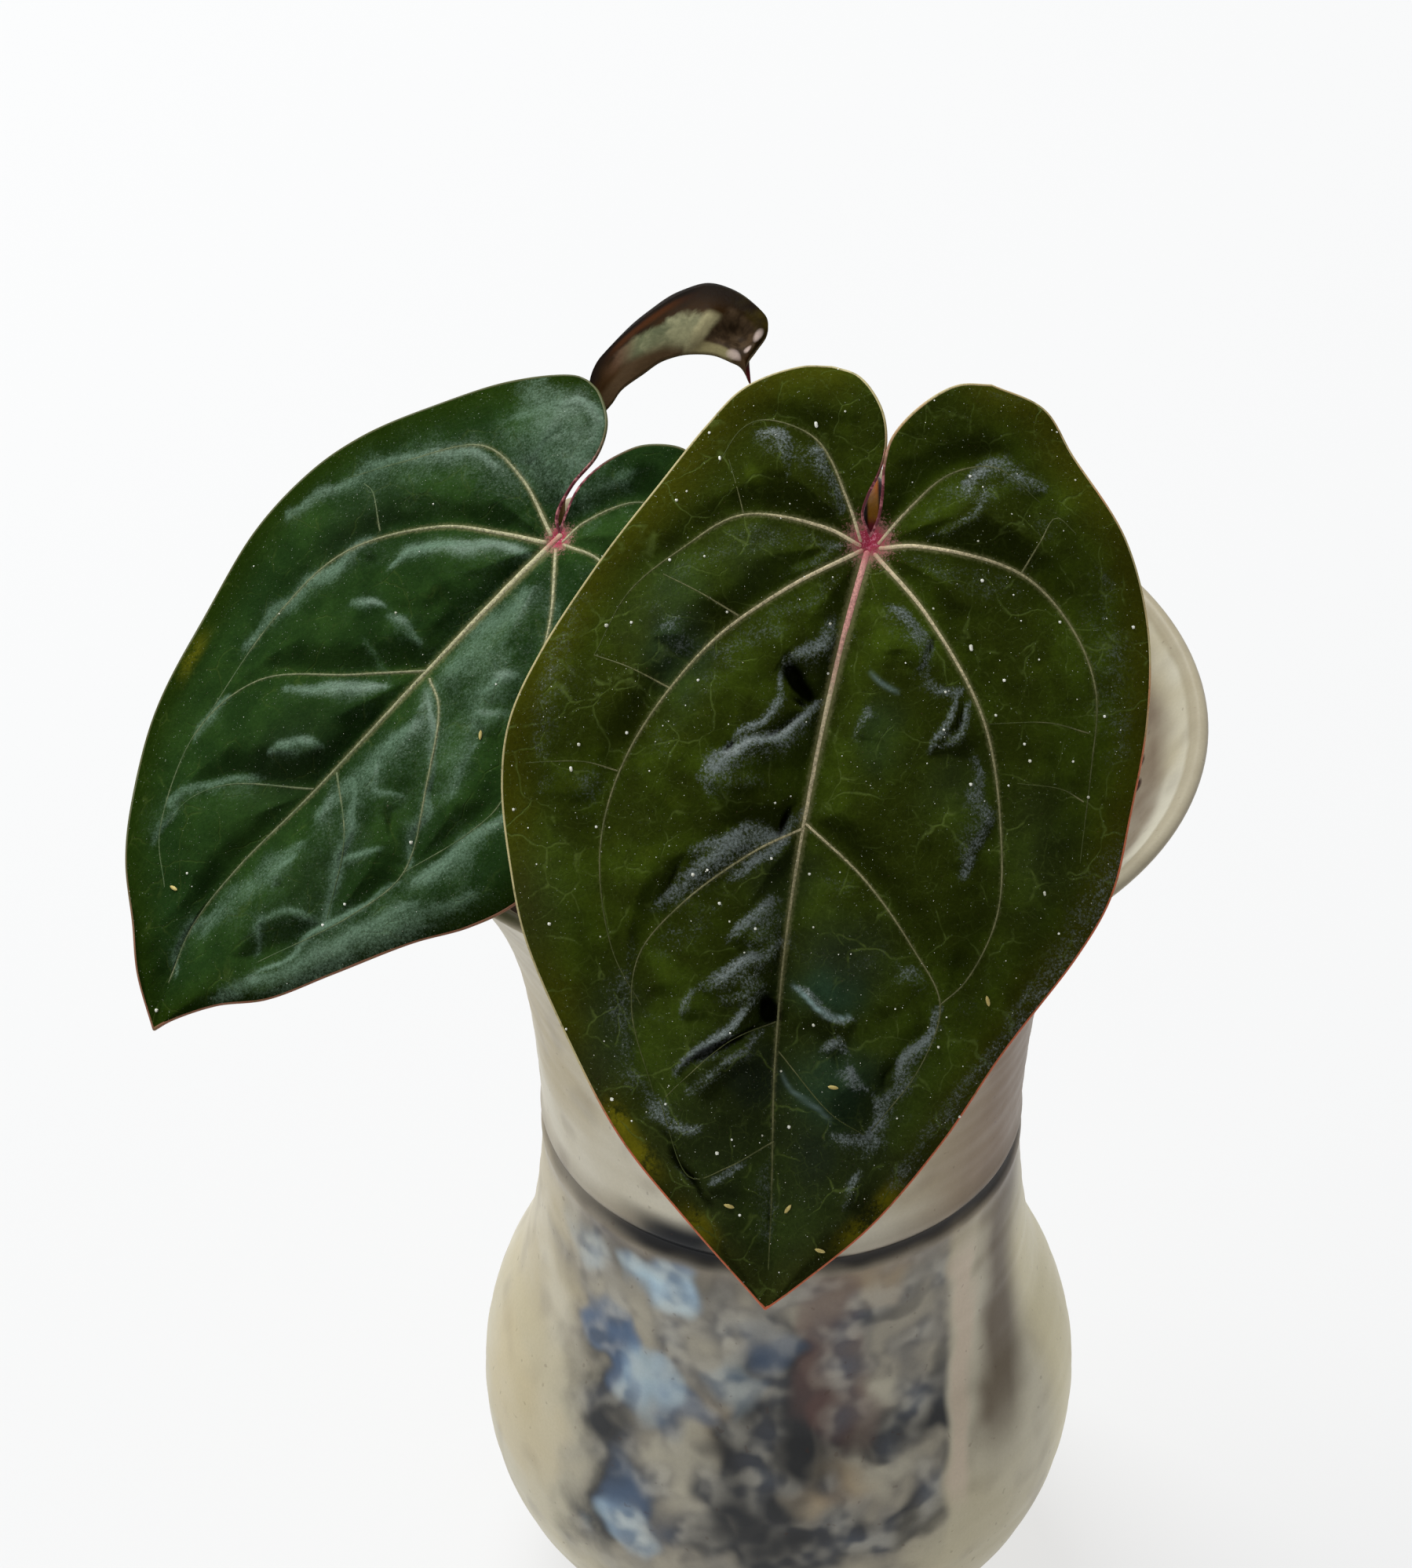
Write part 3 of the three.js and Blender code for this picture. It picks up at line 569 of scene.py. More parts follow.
LEFT_LEAF = {
    "name": "left",
    "base": (-53, -8, 324.2),
    "tip": (-144.2, -77.6, 238.3),
    "facing": (-0.397, -0.461, 0.794),
    "midrib": [(-2.1, 0), (13.6, -2), (42, -4.5), (78.6, -7.3), (103.9, -10.2), (120, -9.6), (133, -5),
               (143.3, 0)],
    "arch": 8,
    "valley": 3.4,
    "curl": 5,
    "wave": 1.5,
    "quilt": 2.4,
    "sinus": [
        [(-2.1, 0), (-4.8, -3.9), (-12.5, -6.2), (-21.6, -6.3), (-28.6, -9.8), (-33.1, -17), (-33.8, -21.5)],
        [(-2.1, 0), (-5.9, -1.9), (-13, -4.1), (-19, -3.6), (-24.1, -1.7), (-29.8, 2.1), (-34.8, 10.8),
         (-34, 18)],
    ],
    "margin": [
        [(-33.8, -21.5), (-32.7, -25.3), (-21.2, -39.1), (-6.1, -50.5), (10, -60.4), (22.3, -64.7),
         (42, -65.8), (67, -61), (90.7, -54.3), (107.3, -44.5), (119.1, -34.7), (128.8, -22.2),
         (136.1, -13), (143.3, 0)],
        [(-34, 18), (-27, 32), (-12, 42.5), (10, 51), (32, 54.6), (50, 55.4), (67.7, 53.1), (78.5, 47.5),
         (89.5, 38.6), (106.7, 27.5), (120.7, 18.3), (129.5, 8.8), (139.2, 1.8), (143.3, 0)],
    ],
    "veins": [
        ([(-2.1, 0), (13.6, -2), (42, -4.5), (78.6, -7.3), (103.9, -10.2), (120, -9.6), (133, -5)],
         (0.95, 0.22), (1, 0.3)),
        ([(-1, -2), (-6.8, -18), (-7.1, -32.2), (8, -46.9), (18.9, -56.1)], (0.5, 0.15), (0.9, 0.15)),
        ([(1.2, -2), (5.8, -12.6), (13.7, -27), (32.1, -42.7), (54.4, -46.1), (84.9, -42.6)],
         (0.6, 0.16), (0.9, 0.2)),
        ([(40.7, -4.4), (52.4, -19.5), (67.5, -38.6), (86.2, -42.8), (108.5, -33), (117.3, -22.4)],
         (0.35, 0.15), (0.6, 0.2)),
        ([(78, -7.9), (90.3, -27), (98.9, -32.6), (106, -32.7)], (0.28, 0.14), (0.4, 0.15)),
        ([(-1.5, 1.5), (-8.1, 2.8), (-19.9, 11.7), (-18, 30)], (0.4, 0.14), (0.8, 0.15)),
        ([(-1.1, 2.2), (-3.4, 12.8), (2, 28), (18, 40), (36, 44)], (0.4, 0.14), (0.8, 0.15)),
        ([(1, 1.5), (15.6, 13.6), (32.6, 22.1), (52.2, 33.3), (62.2, 32.1), (78.9, 25.3)],
         (0.45, 0.16), (0.85, 0.2)),
        ([(41.8, -2.5), (45.2, 4.2), (60.4, 15.2), (78.9, 25.3), (93.6, 21.9), (115.7, 10.4)],
         (0.35, 0.15), (0.6, 0.2)),
        ([(71.7, -5.7), (82, 7.5), (98, 17.4)], (0.3, 0.14), (0.4, 0.15)),
        ([(23, -39), (17, -48), (17, -51)], (0.24, 0.14), (0.4, 0.2)),
    ],
    "folds": [
        ([(63, -48), (53, -48), (44, -45), (35, -43), (26, -39)], 2.4, 0.22, 0.85),
        ([(27, -31), (23, -30), (15, -21), (9, -12), (5, -4)], 1.8, 0.28, 0.9),
        ([(40, -32), (36, -28), (35, -24)], 1.8, 0.22, 0.8),
        ([(37, -21), (36, -16), (36, -11)], 2.2, 0.17, 0.7),
        ([(44, -23), (46, -17), (46, -12)], 1.4, 0.17, 0.5),
        ([(65, -31), (60, -26), (53, -16), (49, -10)], 2.2, 0.28, 0.8),
        ([(88, -42), (82, -43), (75, -42)], 1.8, 0.22, 0.8),
        ([(78, -23), (74, -22), (69, -15)], 1.9, 0.28, 0.8),
        ([(102, -37), (96, -34), (90, -28), (84, -21)], 2, 0.28, 0.8),
        ([(111, -32), (107, -34), (102, -34)], 1.6, 0.22, 0.8),
        ([(13, 3), (22, 1), (33, 0), (44, 0)], 6, 0.17, 0.75),
        ([(51, 2), (63, 0), (73, -2), (81, -2)], 4.5, 0.17, 0.75),
        ([(90, -2), (98, -4), (108, -6), (118, -7)], 4, 0.17, 0.65),
        ([(45, 1), (51, 9), (58, 15), (66, 20), (77, 25)], 1.5, 0.33, 1),
        ([(58, -1), (65, 3), (69, 7), (66, 12)], 1.3, 0.22, 0.7),
        ([(72, -3), (72, 2), (80, 8), (89, 12), (100, 18)], 1.9, 0.33, 1),
        ([(87, 11), (82, 13), (79, 16)], 1.6, 0.22, 0.8),
        ([(102, 0), (97, -3), (92, 0)], 1.5, 0.22, 0.7),
        ([(108, 4), (102, 7), (100, 14)], 1.5, 0.22, 0.6),
        ([(114, 9), (110, 5), (107, 4)], 1.3, 0.22, 0.7),
        ([(58, 22), (53, 20), (46, 19)], 1.7, 0.22, 0.8),
        ([(44, 14), (40, 14), (36, 19)], 2, 0.22, 0.8),
        ([(36, 10), (32, 11), (28, 16)], 2.2, 0.22, 0.8),
        ([(79, 28), (72, 32), (64, 33), (54, 35)], 3.4, 0.17, 0.85),
        ([(117, 12), (108, 16), (101, 18), (93, 21), (82, 25)], 1.5, 0.28, 0.8),
        ([(115, 19), (105, 22), (93, 27), (82, 33)], 3.2, 0.11, 0.7),
        ([(126, 8), (114, 17), (100, 25), (86, 34), (74, 42)], 4.5, 0.06, 0.75),
        ([(131, -5), (122, -9), (114, -8)], 1.8, 0.17, 0.7),
        ([(33, -62), (26, -60), (20, -56), (13, -52), (7, -48), (0, -40), (-5, -32), (-6, -26)],
         2.8, 0.17, 0.75),
        ([(-26, -22), (-30, -19), (-29, -13), (-25, -9), (-17, -9), (-11, -7)], 3.2, 0.17, 0.9),
        ([(-16, -32), (-21, -28), (-26, -24)], 3, 0.17, 0.65),
        ([(-12, -17), (-18, -20), (-22, -19)], 2.2, 0.22, 0.75),
        ([(-19, 1), (-24, 4)], 4, 0.11, 0.6),
        ([(-12, -27), (-8, -19), (-4, -12)], 2, 0.11, 0.3),
        ([(-26, -27), (-21, -14), (-15, -3)], 16, 0.2, 0.55),
        ([(-6, -36), (8, -50), (22, -56)], 6, 0.2, 0.3),
        ([(10, 12), (24, 28), (46, 42)], 8, 0.2, 0.35),
        ([(26, 9), (32, 12), (43, 15), (58, 22)], 5, 0.2, 0.35),
    ],
    "creases": [
        ([(26, -36), (31, -36)], 1.5, 0.5),
        ([(70, 12), (76, 16)], 1.5, 0.5),
    ],
    "pillows": [
        ((25, -20), (9, 7), 0.7),
        ((50, -28), (9, 7), 0.7),
        ((75, -24), (8, 7), 0.6),
        ((60, 8), (8, 6), 0.6),
        ((84, 4), (8, 6), 0.5),
    ],
    # How much painted sheen lies where the relief turns up to the sky.
    "upturn_sheen": 0.16,
    "spread": 3.3,
    "blush": 3.8,
    "shades": [((78, -18), (14, 10), 0.5), ((24, -44), (16, 8), 0.4), ((96, 8), (14, 8), 0.3)],
    "glints": [],
    "domes": [],
    "yellow": [((72, -53), 5)],
    "seeds": [((44, 18), 40), ((116, -20), 100)],
    "grains": [],
}


class Blade:
    """A leaf blade: its plan, its upper face in space, and a way to find a place on it."""

    def __init__(self, leaf):
        self.leaf = leaf
        base = np.array(leaf["base"], float)
        along = unit(np.array(leaf["tip"], float) - base)
        facing = np.array(leaf["facing"], float)
        self.facing = unit(facing - along * (facing @ along))
        across = np.cross(self.facing, along)
        halves = [self.half_plan(half) for half in (0, 1)]
        self.plan = np.vstack([plan for plan, _, _ in halves])
        body, relief = np.hstack([self.height(half, *halves[half]) for half in (0, 1)])
        level = base + np.outer(self.plan[:, 0], along) + np.outer(self.plan[:, 1], across)
        self.smooth = level + np.outer(body, LIFT)
        self.top = self.smooth + np.outer(relief, LIFT)
        self.triangles = [corners for f in half_faces(*BLADE_GRID)
                          for corners in ((f[0], f[1], f[2]), (f[0], f[2], f[3]))]
        self.flat = [Vector((s, t, 0)) for s, t in self.plan]
        self.tree = BVHTree.FromPolygons(self.flat, self.triangles)

    def half_plan(self, half):
        """Places from the midrib out to the margin. Row 0 follows the notch and the last row is the tip."""
        rows, columns = BLADE_GRID
        rim = evenly(self.leaf["margin"][half], rows - 1)
        notch = evenly(self.leaf["sinus"][half], columns - 1)
        row = np.linspace(0, 1, rows)[:, None, None]
        out = np.linspace(0, 1, columns)[None, :, None]
        inner = places_at(smooth_curve(self.leaf["midrib"]), row.ravel() ** 1.5)
        bend = notch - (notch[0] + (rim[0] - notch[0]) * out[0])
        places = inner[:, None] * (1 - out) + rim[:, None] * out + bend[None] * (1 - row) ** 3
        return places.reshape(-1, 2), np.repeat(row.ravel(), columns), np.tile(out.ravel(), rows)

    def height(self, half, places, row, step):
        """Arch from lobes to tip, valley along the midrib, curled waved margin, pillows, folds, creases."""
        leaf = self.leaf
        bend = math.pi / 2 / ARCH_SPAN
        reached = places[:, 0] / leaf["midrib"][-1][0]
        arch = np.cos((reached - ARCH_TOP) * bend) - math.cos(ARCH_TOP * bend)
        out = step * (1 - row ** 8)
        away = measure(np.array(leaf["midrib"], float), places)[0]
        closest = away
        for path, radius, _ in leaf["veins"]:
            if radius[0] > MAIN_VEIN:
                closest = np.minimum(closest, near_path(path, places)[0])
        quilt = 1 - np.exp(-(closest / VEIN_WIDTH) ** 2)
        relief = (leaf["quilt"] + 0.35 * ripple(places, 23, 6) + 0.2 * ripple(places, 8, 2)) * quilt
        moved = wandered(places)
        for path, width, lift, _ in leaf["folds"]:
            relief += self.fold(path, width, lift * FOLD_HEIGHT, moved)
        for path, width, depth in leaf["creases"]:
            relief -= depth * stroke(path, width, moved, 0.6)
        for middle, reach, lift in leaf["pillows"]:
            relief += lift * spot(middle, reach, places, 1.5)
        wave = leaf["wave"] * out ** 2 * np.sin(row * WAVE_COUNT * math.tau + half * 2.1)
        valley = leaf["valley"] * (1 - np.exp(-away / VALLEY_WIDTH)) * rise(step, 0, 0.02)
        body = leaf["arch"] * arch + valley + wave - leaf["curl"] * out ** 3
        return np.stack([body, relief * (1 - step ** 6) * rise(step, 0, 0.05)])

    @staticmethod
    def across_fold(path, places):
        """How far each place lies across a fold, positive on the tip's side, and the share along it."""
        line = smooth_curve(path, 6)
        distance, along, side = measure(line, places)
        return distance * side * (1 if line[-1][1] < line[0][1] else -1), along

    def fold(self, path, width, lift, places):
        """The blade steps up across the path, on the side nearer the tip, and sinks back beyond it."""
        signed, along = self.across_fold(path, places)
        fade = np.exp(-(np.maximum(signed, 0) / (2.2 * width + 2)) ** 2)
        return lift * np.sin(np.pi * along) ** 0.7 * rise(signed, -width * 0.6, width * 0.6) * fade

    def values(self):
        """What the finish needs to know at each point of the blade."""
        leaf, places = self.leaf, self.plan
        moved = wandered(places)
        halos = []
        for path, radius, pale in leaf["veins"]:
            distance, along, _ = near_path(path, places)
            width = (radius[0] + (radius[1] - radius[0]) * along) * 1.6 + 0.25
            halos.append((pale[0] + (pale[1] - pale[0]) * along) * np.exp(-(distance / width) ** 2))
        cores, plain = [], 1
        for path, width, _, shine in leaf["folds"]:
            signed, along = self.across_fold(path, moved)
            reach = width * (0.4 + 0.6 * np.sin(np.pi * np.clip(along, 0.05, 0.95)))
            gap = np.where(signed < 0, signed * 1.5, signed * 0.7) / reach
            cores.append(shine * np.exp(-(gap * 1.25) ** 2))
            plain = plain * (1 - np.clip(0.6 * shine * np.exp(-(gap / leaf["spread"]) ** 2), 0, 1))
        # Painted sheen lies along the folds and where the relief turns up to the sky.
        upturn = (self.normals(self.top) - self.normals(self.smooth)) @ SKY
        painted_sheen = 0.5 * (1 - plain) + 0.62 * strongest(cores, places) * (0.7 + 0.4 * rise(upturn, -0.1, 0.2))
        return {
            "halo": strongest(halos, places),
            "painted_sheen": painted_sheen + leaf["upturn_sheen"] * rise(upturn, 0.04, 0.3),
            # Painted shade in the creases.
            "dark": strongest([min(1, 0.25 + 0.45 * depth) * stroke(path, width, moved, 0.7)
                               for path, width, depth in leaf["creases"]], places),
            "yellow": sum(spot(middle, size, places) for middle, size in leaf["yellow"]),
            "edge": np.min([near_path(margin, places)[0] for margin in leaf["margin"]], axis=0),
            "joint": spot(JOINT, leaf["blush"], places),
            "upturn": upturn,
            "glint": strongest([strength * stroke(path, width, places, 0.5)
                                for path, width, strength in leaf["glints"]], places),
            # Bluish painted sheen on the domes.
            "dome": strongest([strength * spot(middle, reach, moved, 1.5)
                               for middle, reach, strength in leaf["domes"]], places),
            # Patches of painted shade.
            "painted_shade": strongest([strength * spot(middle, reach, moved, 1.3)
                                for middle, reach, strength in leaf["shades"]], places),
        }

    def normals(self, places):
        grid = places.reshape(2, *BLADE_GRID, 3)
        normal = np.cross(np.gradient(grid, axis=1), np.gradient(grid, axis=2)).reshape(-1, 3)
        length = np.linalg.norm(normal, axis=1, keepdims=True)
        normal = np.where(length > 1e-6, normal / np.maximum(length, 1e-6), self.facing)
        return normal * np.sign(normal @ self.facing)[:, None]

    def on(self, places, under=False):
        """Places and outward normals on the upper or lower face, for places in the plan."""
        spots, normals = [], []
        for s, t in places:
            found = self.triangles[self.tree.find_nearest(Vector((s, t, 0)))[2]]
            solid = [Vector(self.top[c]) for c in found]
            spots.append(barycentric_transform(Vector((s, t, 0)), *[self.flat[c] for c in found], *solid))
            normal = (solid[1] - solid[0]).cross(solid[2] - solid[0]).normalized()
            normals.append(normal if normal.dot(Vector(LIFT)) > 0 else -normal)
        spots, normals = np.array(spots), np.array(normals)
        return (spots - LIFT * BLADE_THICKNESS, -normals) if under else (spots, normals)

    def build(self, material, node):
        places, faces = closed_blade(self.top, LIFT * BLADE_THICKNESS, *BLADE_GRID)
        values = {key: np.tile(numbers, 2) for key, numbers in self.values().items()}
        values["under"] = np.repeat([0.0, 1.0], len(self.top))
        return mesh_piece(f"blade_{self.leaf['name']}", places, faces, material, (node,), values,
                          np.tile(self.plan, (2, 1)))

    def build_veins(self, material):
        """Raised veins on both faces."""
        parts = Parts("pale", "joint", "under")
        for path, radius, pale in self.leaf["veins"]:
            length = np.linalg.norm(np.diff(smooth_curve(path), axis=0), axis=1).sum()
            line = evenly(path, max(8, int(length / VEIN_STEP)))
            left = 1 - np.linspace(0, 1, len(line))
            radii = radius[1] + (radius[0] - radius[1]) * left ** 1.8
            paleness = pale[1] + (pale[0] - pale[1]) * left ** 1.5
            joint = spot((0, 0), 1.4 * self.leaf["blush"], line)
            for under in (False, True):
                spots, normals = self.on(line, under)
                thick = np.minimum(radii * 1.5, 0.8) if under else radii
                spots = spots - normals * thick[:, None] * 0.25
                places, faces, ring = tube(spots, thick, 8, VEIN_FLATNESS, normals)
                parts.add(places, faces, pale=paleness[ring], joint=joint[ring], under=float(under))
        parts.piece(f"veins_{self.leaf['name']}", material, BLADE_SLOT)

    def build_litter(self, material):
        """Grit and small dry husks that lie on the upper face."""
        parts = Parts("husk")
        for middle, size in self.leaf["grains"]:
            line = np.array(middle) + np.outer(np.linspace(-0.5, 0.5, 4), (size, 0.3 * size))
            spots, normals = self.on(line)
            places, faces, _ = tube(spots + normals * 0.3 * size, size * 0.55, 7, 0.7, normals)
            parts.add(places, faces, husk=0.0)
        for middle, turn in self.leaf["seeds"]:
            ahead = (math.cos(math.radians(turn)), math.sin(math.radians(turn)))
            share = np.linspace(-1, 1, 9)
            spots, normals = self.on(np.array(middle) + np.outer(share, ahead) * 1.1)
            radii = 0.42 * np.sqrt(1.05 - share ** 2)
            places, faces, _ = tube(spots + normals * 0.25, radii, 8, 0.7, normals)
            parts.add(places, faces, husk=1.0)
        parts.piece(f"litter_{self.leaf['name']}", material, BLADE_SLOT)

    def build_rim(self, material):
        """The thin coloured bead that finishes the margin."""
        parts = Parts("red", "joint")
        middle = self.top - LIFT * BLADE_THICKNESS / 2
        shares = np.linspace(0, 1, 260)
        for side, line in enumerate(half_edges(*BLADE_GRID)):
            plan = places_at(self.plan[line], shares)
            places, faces, ring = tube(places_at(middle[line], shares), BLADE_THICKNESS * 0.55, 8)
            red = 0.35 + 0.65 * rise(plan[:, 0], 0, 90) if side else rise(plan[:, 0], 105, 150)
            parts.add(places, faces, red=red[ring], joint=spot((0, 0), 24, plan)[ring])
        parts.piece(f"rim_{self.leaf['name']}", material, BLADE_SLOT)


def velvet_material(name, deep, olive, brown, shine, lines, coarse):
    """Dark velvety upper face with a fine pale net, painted sheen, painted highlights and painted shade, and
    a paler matte lower face.
    """
    material, net, place = start_material(name)
    broad, patchy = net.noise(place, 45, 3, 0.55), net.noise(place, 140, 3, 0.6)
    ragged, grain = net.noise(place, 330, 4, 0.7, 0.6), net.noise(place, 1300, 3, 0.75)
    sand, fleck = net.noise(place, 1700, 2, 0.8), net.noise(place, 2300, 1, 0.6)
    drift = net.shade(net.noise(place, 90, 3, output=1), 0.008)
    wander = net.node("ShaderNodeVectorMath", {"operation": "ADD"}, {0: place, 1: drift})
    net_line = net.fall(net.cells(wander, 85), 0.0, 0.03) * net.rise(patchy, 0.42, 0.62)
    fine_line = net.fall(net.cells(wander, 330), 0.0, 0.07) * net.rise(ragged, 0.4, 0.6)
    edge, halo, under, painted_sheen, joint, upturn, painted_shade, yellow, dome, glint, dark = net.values(
        "edge", "halo", "under", "painted_sheen", "joint", "upturn", "painted_shade", "yellow", "dome", "glint", "dark")
    # Deep and olive tones, the brown margin and cooler patches of painted shade.
    colour = net.over(
        deep,
        (olive, net.rise(broad * 0.7 + patchy * 0.3, 0.43, 0.66)),
        (brown, net.fall(edge, 0.0, 11.0) * 0.75 + net.rise(patchy, 0.55, 0.8) * 0.25),
        ((38, 47, 32), painted_shade * 0.6))
    ripe = yellow * net.rise(patchy + (grain - 0.5) * 0.4, 0.3, 0.55) * net.fall(edge, 1.0, 5.5)
    colour = net.over(
        # Darker where the patches of painted shade lie.
        net.shade(colour, 1 - painted_shade * 0.18),
        ((132, 124, 20), ripe * 0.65),
        ((82, 96, 44), (net_line * 0.55 + fine_line * 0.15) * lines),
        # Bluish painted sheen on the domes.
        ((38, 62, 46), dome * 0.5))
    # Painted shade where the relief turns away from the sky.
    colour = net.shade(net.shade(colour, 0.5 + grain), 1 - net.rise(0 - upturn, 0.03, 0.3) * 0.5)
    # Where the painted sheen lies, broken up by noise.
    rough = (patchy - 0.5) * 0.5 + (ragged - 0.5) * coarse * 1.4 + (sand - 0.5) * coarse * 2.4
    sheen_mask = net.rise(painted_sheen + rough, 0.1, 1.25) * net.rise(painted_sheen, 0.0, 0.5)
    rosy = net.rise(joint * 0.5 + sand, 0.95, 1.15) * net.rise(joint, 0.3, 0.6)
    # Painted sheen and painted highlights, then the pale halos of the veins, flecks and the red joint.
    colour = net.over(
        colour,
        (net.shade(shine, 1 + (sand - 0.5) * coarse * 3), sheen_mask * 0.88),
        ((140, 164, 164), glint * 0.85),
        ((136, 132, 92), net.rise(halo + (grain - 0.5) * 0.9, 0.15, 1.0) * 0.55),
        ((170, 180, 160), net.rise(fleck, 0.72, 0.78) * 0.4),
        ((176, 122, 116), net.rise(joint + (sand - 0.5) * 1.5, 0.25, 0.85) * 0.8),
        ((150, 40, 66), net.rise(joint + (sand - 0.5) * 0.8, 0.55, 0.95)),
        ((206, 130, 146), rosy * 0.8))
    # Painted shade in the creases.
    colour = net.shade(colour, 1 - net.rise(dark + (ragged - 0.5) * 0.4, 0.14, 0.72) * 0.93)
    back = net.over(
        (92, 112, 62),
        ((118, 132, 84), net.rise(broad, 0.35, 0.65)),
        ((146, 156, 112), net_line * 0.6))
    colour = net.tint(colour, net.shade(back, 0.8 + grain * 0.4), under)
    height = grain * 0.3 - net_line * 0.35 - fine_line * 0.12 + patchy * 0.9 + ragged * 0.4
    end_material(net, colour, 0.6 + (grain - 0.5) * 0.2 + under * 0.15, net.bump(height, 0.6, 0.0006),
                 Specular_IOR_Level=0.0, Coat_Weight=sheen_mask * 0.3, Coat_Roughness=0.38)
    return material


def vein_material(name, pale_colour, mid_colour, dull_colour):
    """Pale hairy veins that sink into the green away from the joint."""
    material, net, place = start_material(name)
    grain, soft = net.noise(place, 1700, 2, 0.8), net.noise(place, 220, 2, 0.6)
    pale, joint, under = net.values("pale", "joint", "under")
    colour = net.over(
        dull_colour,
        (mid_colour, net.rise(pale + (soft - 0.5) * 0.5, 0.1, 0.6)),
        (pale_colour, net.rise(pale + (grain - 0.5) * 0.4, 0.5, 0.95)),
        ((226, 164, 154), net.rise(pale + (soft - 0.5) * 0.2, 0.95, 1.15)))
    colour = net.over(
        net.shade(colour, 0.1 + grain * 1.8),
        ((160, 46, 72), net.rise(joint + (grain - 0.5) * 0.9, 0.66, 1.1) * 0.7),
        ((150, 160, 116), under * 0.9))
    end_material(net, colour, 0.6 + (grain - 0.5) * 0.2, net.bump(grain, 0.5, 0.0003),
                 Specular_IOR_Level=0.15)
    return material


def rim_material(name, pale, ruddy):
    material, net, place = start_material(name)
    grain, patchy = net.noise(place, 700, 2, 0.6), net.noise(place, 90, 2, 0.5)
    red, joint = net.values("red", "joint")
    crimson = net.tint((96, 30, 42), (168, 100, 104), net.rise(grain, 0.48, 0.62))
    colour = net.over(
        pale,
        (ruddy, net.rise(red + (patchy - 0.5) * 0.7, 0.25, 0.8)),
        ((84, 84, 30), net.rise(grain, 0.5, 0.75) * 0.55),
        (crimson, net.rise(joint, 0.2, 0.7)))
    end_material(net, colour, 0.45 + grain * 0.2, net.bump(grain, 0.3, 0.0002), Specular_IOR_Level=0.35)
    return material


# The young leaf, still folded over its midrib and arching to its drip tip

YOUNG_GRID = (121, 49)
YOUNG_SWELL = 2.2
YOUNG_DROP = 0.7 * np.array([0, 0.3, 0.95])
YOUNG_OUTWARD = ((0, -0.5, 0.9), (0, 1, 0.9))
YOUNG_GLINTS = ((0.81, 0.22, 0.9), (0.845, 0.5, 0.7), (0.83, 0.86, 1.7))
YOUNG_RIDGE = [(-44.3, 29.7, 337.4), (-45.4, 33.7, 339.2), (-43.8, 37.5, 342.3), (-40.2, 40.5, 345.2),
               (-35.5, 43.2, 348.5), (-30.2, 45.3, 351.9), (-24.6, 47, 354.8), (-18.4, 47.5, 356.9),
               (-12.6, 45.1, 357.2), (-7.9, 41.2, 356.4), (-4.5, 37.4, 354.9), (-4.5, 34, 353.1),
               (-6.9, 30.5, 351.1), (-9.1, 27.7, 349.2), (-9.4, 25.9, 347.8), (-8.2, 23.7, 345.9)]
YOUNG_NEAR = [(-44.3, 29.7, 337.4), (-42.4, 25.7, 337.2), (-40.2, 25.3, 339.9), (-37.9, 26.9, 342.7),
              (-32.8, 29.3, 345.6), (-28.9, 31, 347.7), (-24.7, 31.4, 349.1), (-20.2, 31.3, 349.7),
              (-16.6, 30.3, 350), (-13, 28.5, 349.5), (-10.5, 27.1, 348.8), (-8.2, 23.7, 345.9)]
YOUNG_FAR = [(-44.3, 29.7, 337.4), (-43.5, 36.6, 337.2), (-39.9, 42.7, 339.1), (-34.5, 47.7, 341.3),
             (-27.9, 51.2, 344), (-20.2, 52, 346.7), (-13.3, 48.7, 348.2), (-8.6, 43, 349),
             (-7.2, 37.2, 349.1), (-8.5, 30.5, 348.7), (-8.2, 23.7, 345.9)]


def young_blade(material):
    ridge = evenly(YOUNG_RIDGE, YOUNG_GRID[0] - 1)[:, None]
    along, out = np.meshgrid(*(np.linspace(0, 1, count) for count in YOUNG_GRID), indexing="ij")
    arc = np.sin(along * math.pi) * np.sin(out * math.pi)
    dent = np.exp(-((along - 0.74) / 0.08) ** 2 - ((out - 0.52) / 0.22) ** 2)
    swell = 1.0 * np.exp(-((along - 0.6) / 0.05) ** 2 - ((out - 0.6) / 0.3) ** 2)
    ribs = 0.06 * np.sin(along * 46 + out * 4) * arc
    tops = []
    for far, margin in enumerate((YOUNG_NEAR, YOUNG_FAR)):
        edge = evenly(margin, YOUNG_GRID[0] - 1)[:, None]
        relief = YOUNG_SWELL * arc + ribs + (0 if far else swell - 3.2 * dent)
        places = ridge * (1 - out[..., None]) + edge * out[..., None]
        tops.append((places + relief[..., None] * YOUNG_OUTWARD[far]).reshape(-1, 3))
    places, faces = closed_blade(np.vstack(tops), YOUNG_DROP, *YOUNG_GRID)
    values = {
        "out": np.tile(out.ravel(), 4),
        "along": np.tile(along.ravel(), 4),
        "far": np.tile(np.repeat([0.0, 1.0], out.size), 2),
        "under": np.repeat([0.0, 1.0], 2 * out.size),
    }
    mesh_piece("blade_young", places, faces, material, ("leaf_young",), values)


